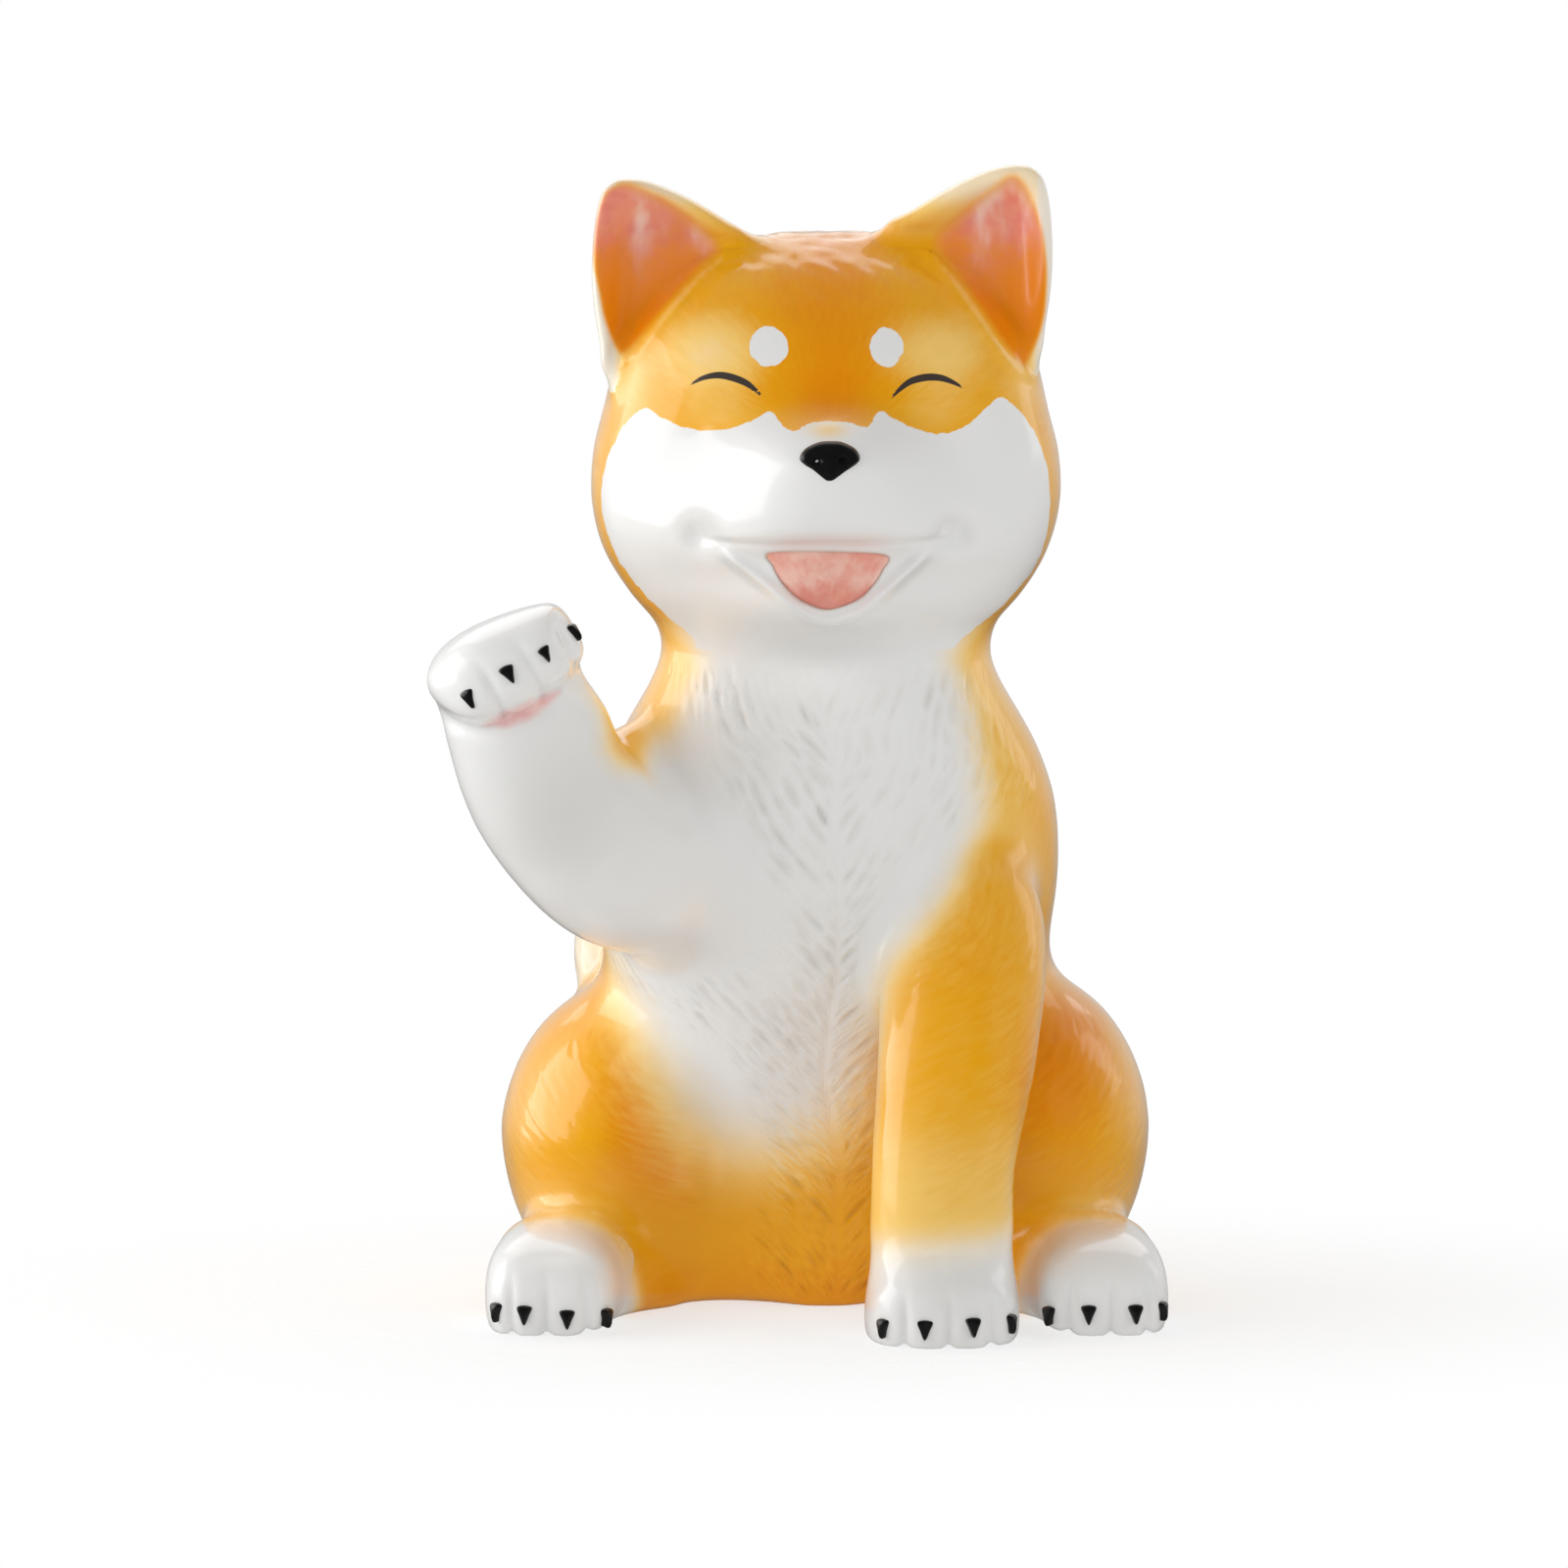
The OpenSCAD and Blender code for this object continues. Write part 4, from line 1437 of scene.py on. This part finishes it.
def face_paint(g, colour):
    """White mask and brows with brushed edges, and the soft marks around nose and mouth."""
    brush = g.noise(g.place((1, 1, 0.45)), 420, 2)
    jag = g.around_zero(brush, 1.2)
    colour = g.mix(g.step(g.plus(g.share("mask"), jag), -0.12, 0.12), colour, WHITE)
    colour = g.mix(g.times(g.share("smudge"), 0.75), colour, PALE)
    colour = g.mix(g.times(g.share("blush"), 0.5), colour, BLUSH)
    colour = g.mix(g.times(g.share("line"), 0.55), colour, MOUTH_LINE)
    return g.mix(g.step(g.plus(g.share("brow"), jag), -0.1, 0.1), colour, WHITE)


def ear_paint(g, dab, lick):
    """Flush of the ears, from orange below to pink above, with rosy and milky dabs."""
    height = g.plus(g.share("ear_height"), g.around_zero(dab, 0.5))
    flush = g.mix(g.step(height, 0.2, 0.66), EAR_BASE, EAR_WARM)
    flush = g.mix(g.step(height, 0.56, 0.8), flush, EAR_PINK)
    rosy = g.times(g.step(lick, 0.4, 0.7), g.step(height, 0.4, 0.8))
    flush = g.mix(g.times(rosy, 0.7), flush, EAR_ROSE)
    milky = g.times(g.step(dab, 0.5, 0.72), g.step(height, 0.5, 0.9))
    return g.mix(g.times(milky, 0.6), flush, EAR_MILK)


def painted_glaze(g):
    mottle = g.noise(g.place(), 38, 2)
    hair = g.noise(g.strokes(), 1, 2, 0.55)
    dab = g.noise(g.place((1, 1, 0.35), (0.4, 0.3, 0.5)), 95, 3, 0.5)
    lick = g.noise(g.place((0.6, 1, 1), (0, 0.7, 0.3)), 170, 3, 0.6)
    strand = g.around_zero(hair, g.plus(g.share("furry"), 0.25))
    colour = face_paint(g, coat_paint(g, mottle, strand))
    colour = g.mix(g.share("ear"), colour, ear_paint(g, dab, lick))
    pads = g.plus(g.share("pad"), g.around_zero(dab, 3))
    rose = g.mix(g.step(lick, 0.35, 0.65), PAD_PALE, PAD_ROSE)
    colour = g.mix(g.times(g.step(pads, -1.2, 1.4), 0.85), colour, rose)
    colour = g.mix(g.step(g.share("eye"), -0.12, 0.12), colour, EYE_BROWN)
    g.set("Base Color", colour)
    g.set("Roughness", 0.4)
    g.set("Specular IOR Level", 0.1)
    g.set("Coat Weight", 1.0)
    g.set("Coat Roughness", 0.12)
    g.set("Coat IOR", 1.5)
    relief = g.times(hair, g.share("furry"))
    relief = g.plus(relief, g.times(g.noise(g.place(), 130, 2), 0.25))
    g.set("Normal", g.bump(relief, 1.0, 0.0004))


def tongue_glaze(g):
    lap = g.noise(g.place((1, 1, 0.6), (0, 0.6, 0)), 190, 3, 0.6)
    flesh = g.mix(g.step(lap, 0.3, 0.7), TONGUE_ROSE, TONGUE_PALE)
    lower = g.plus(g.times(g.height(), 100), lap)
    flesh = g.mix(g.step(lower, 20.0, 19.1), flesh, TONGUE_DEEP)
    g.set("Base Color", flesh)
    g.set("Roughness", 0.3)
    g.set("Coat Weight", 1.0)
    g.set("Coat Roughness", 0.05)


def black_glaze(g):
    g.set("Base Color", g.mix(g.noise(g.place(), 300, 2), BLACK, BLACK_PALE))
    g.set("Roughness", 0.35)
    g.set("Specular IOR Level", 0.1)
    g.set("Coat Weight", 0.6)
    g.set("Coat Roughness", 0.08)


def floor_paper(g):
    """Paper that fades out around the object."""
    g.set("Base Color", PAPER)
    g.set("Roughness", 0.9)
    g.set("Specular IOR Level", 0.0)
    spread = g.tree.nodes.new("ShaderNodeVectorMath")
    spread.operation = "LENGTH"
    g.put(spread.inputs[0], g.place((1, 1.3, 1)))
    g.set("Alpha", g.times(g.step(spread.outputs["Value"], 0.3, 0.08), 0.35))


painted_glaze(Shader(glaze))
tongue_glaze(Shader(pink))
black_glaze(Shader(black))

# Studio
bpy.ops.mesh.primitive_plane_add(size=8, location=(0, 0, 0))
floor = bpy.context.object
floor.name = "floor"
paper = new_material("paper")
floor.data.materials.append(paper)
floor_paper(Shader(paper))

camera_data = bpy.data.cameras.new("camera")
camera = bpy.data.objects.new("camera", camera_data)
bpy.context.scene.collection.objects.link(camera)
camera.location = (-0.0109, -2.4905, 0.3538)
camera.rotation_euler = (math.radians(85), 0, 0)
camera_data.lens = 219.4
camera_data.sensor_width = 36
bpy.context.scene.camera = camera


def softbox(name, place, target, width, height, power):
    data = bpy.data.lights.new(name, "AREA")
    data.shape = "RECTANGLE"
    data.size, data.size_y = width, height
    data.energy = power
    lamp = bpy.data.objects.new(name, data)
    bpy.context.scene.collection.objects.link(lamp)
    lamp.location = place
    lamp.rotation_euler = (Vector(target) - Vector(place)).to_track_quat("-Z", "Y").to_euler()
    return lamp


CHEST = (0, 0, 0.15)
softbox("left softbox", (-1.1, 0.22, 0.45), CHEST, 1.1, 0.9, 6)
softbox("left softbox edge", (-1.12, 0.22, 0.5), CHEST, 1.6, 1.4, 2.4)
softbox("right softbox", (1.1, 0.75, 0.62), CHEST, 0.4, 0.7, 0.6)
softbox("top softbox", (0, 0.9, 0.9), (0, 0, 0.2), 1.4, 0.8, 3.4)
for name, place, power in (
    ("left fill", (-1.5, -1.0, 1), 12.8),
    ("front fill", (0, -1.9, 0.9), 11.3),
    ("right fill", (1.8, -0.7, 0.8), 12),
):
    softbox(name, place, CHEST, 1.4, 1.2, power).visible_glossy = False

# The room, brighter behind the object, with a pale table below it and white as the camera sees it
world = bpy.data.worlds.new("studio")
bpy.context.scene.world = world
world.use_nodes = True
tree = world.node_tree
sky = tree.nodes["Background"]
sky.inputs["Color"].default_value = (1, 1, 1, 1)
direction = tree.nodes.new("ShaderNodeTexCoord")
parts = tree.nodes.new("ShaderNodeSeparateXYZ")
tree.links.new(direction.outputs["Generated"], parts.inputs["Vector"])


def fading(axis, start, end, low, high):
    node = tree.nodes.new("ShaderNodeMapRange")
    for name, value in zip(("From Min", "From Max", "To Min", "To Max"), (start, end, low, high)):
        node.inputs[name].default_value = value
    tree.links.new(parts.outputs[axis], node.inputs["Value"])
    return node.outputs["Result"]


def chosen(share, a, b):
    node = tree.nodes.new("ShaderNodeMix")
    for socket, value in zip(("Factor", "A", "B"), (share, a, b)):
        if isinstance(value, bpy.types.NodeSocket):
            tree.links.new(value, node.inputs[socket])
        else:
            node.inputs[socket].default_value = value
    return node.outputs["Result"]


table = fading("Z", 0.02, -0.25, 0, 1)
rays = tree.nodes.new("ShaderNodeLightPath")
mirrored = rays.outputs["Is Glossy Ray"]
room = chosen(mirrored, fading("Y", -0.5, 0.5, 0.06, 0.65), fading("Y", 0.05, 0.8, 0.05, 0.65))
bounce = chosen(mirrored, 0.85, 0.1)
lit = chosen(rays.outputs["Is Camera Ray"], chosen(table, room, bounce), 1)
tree.links.new(lit, sky.inputs["Strength"])

bpy.context.scene.view_settings.view_transform = "Standard"
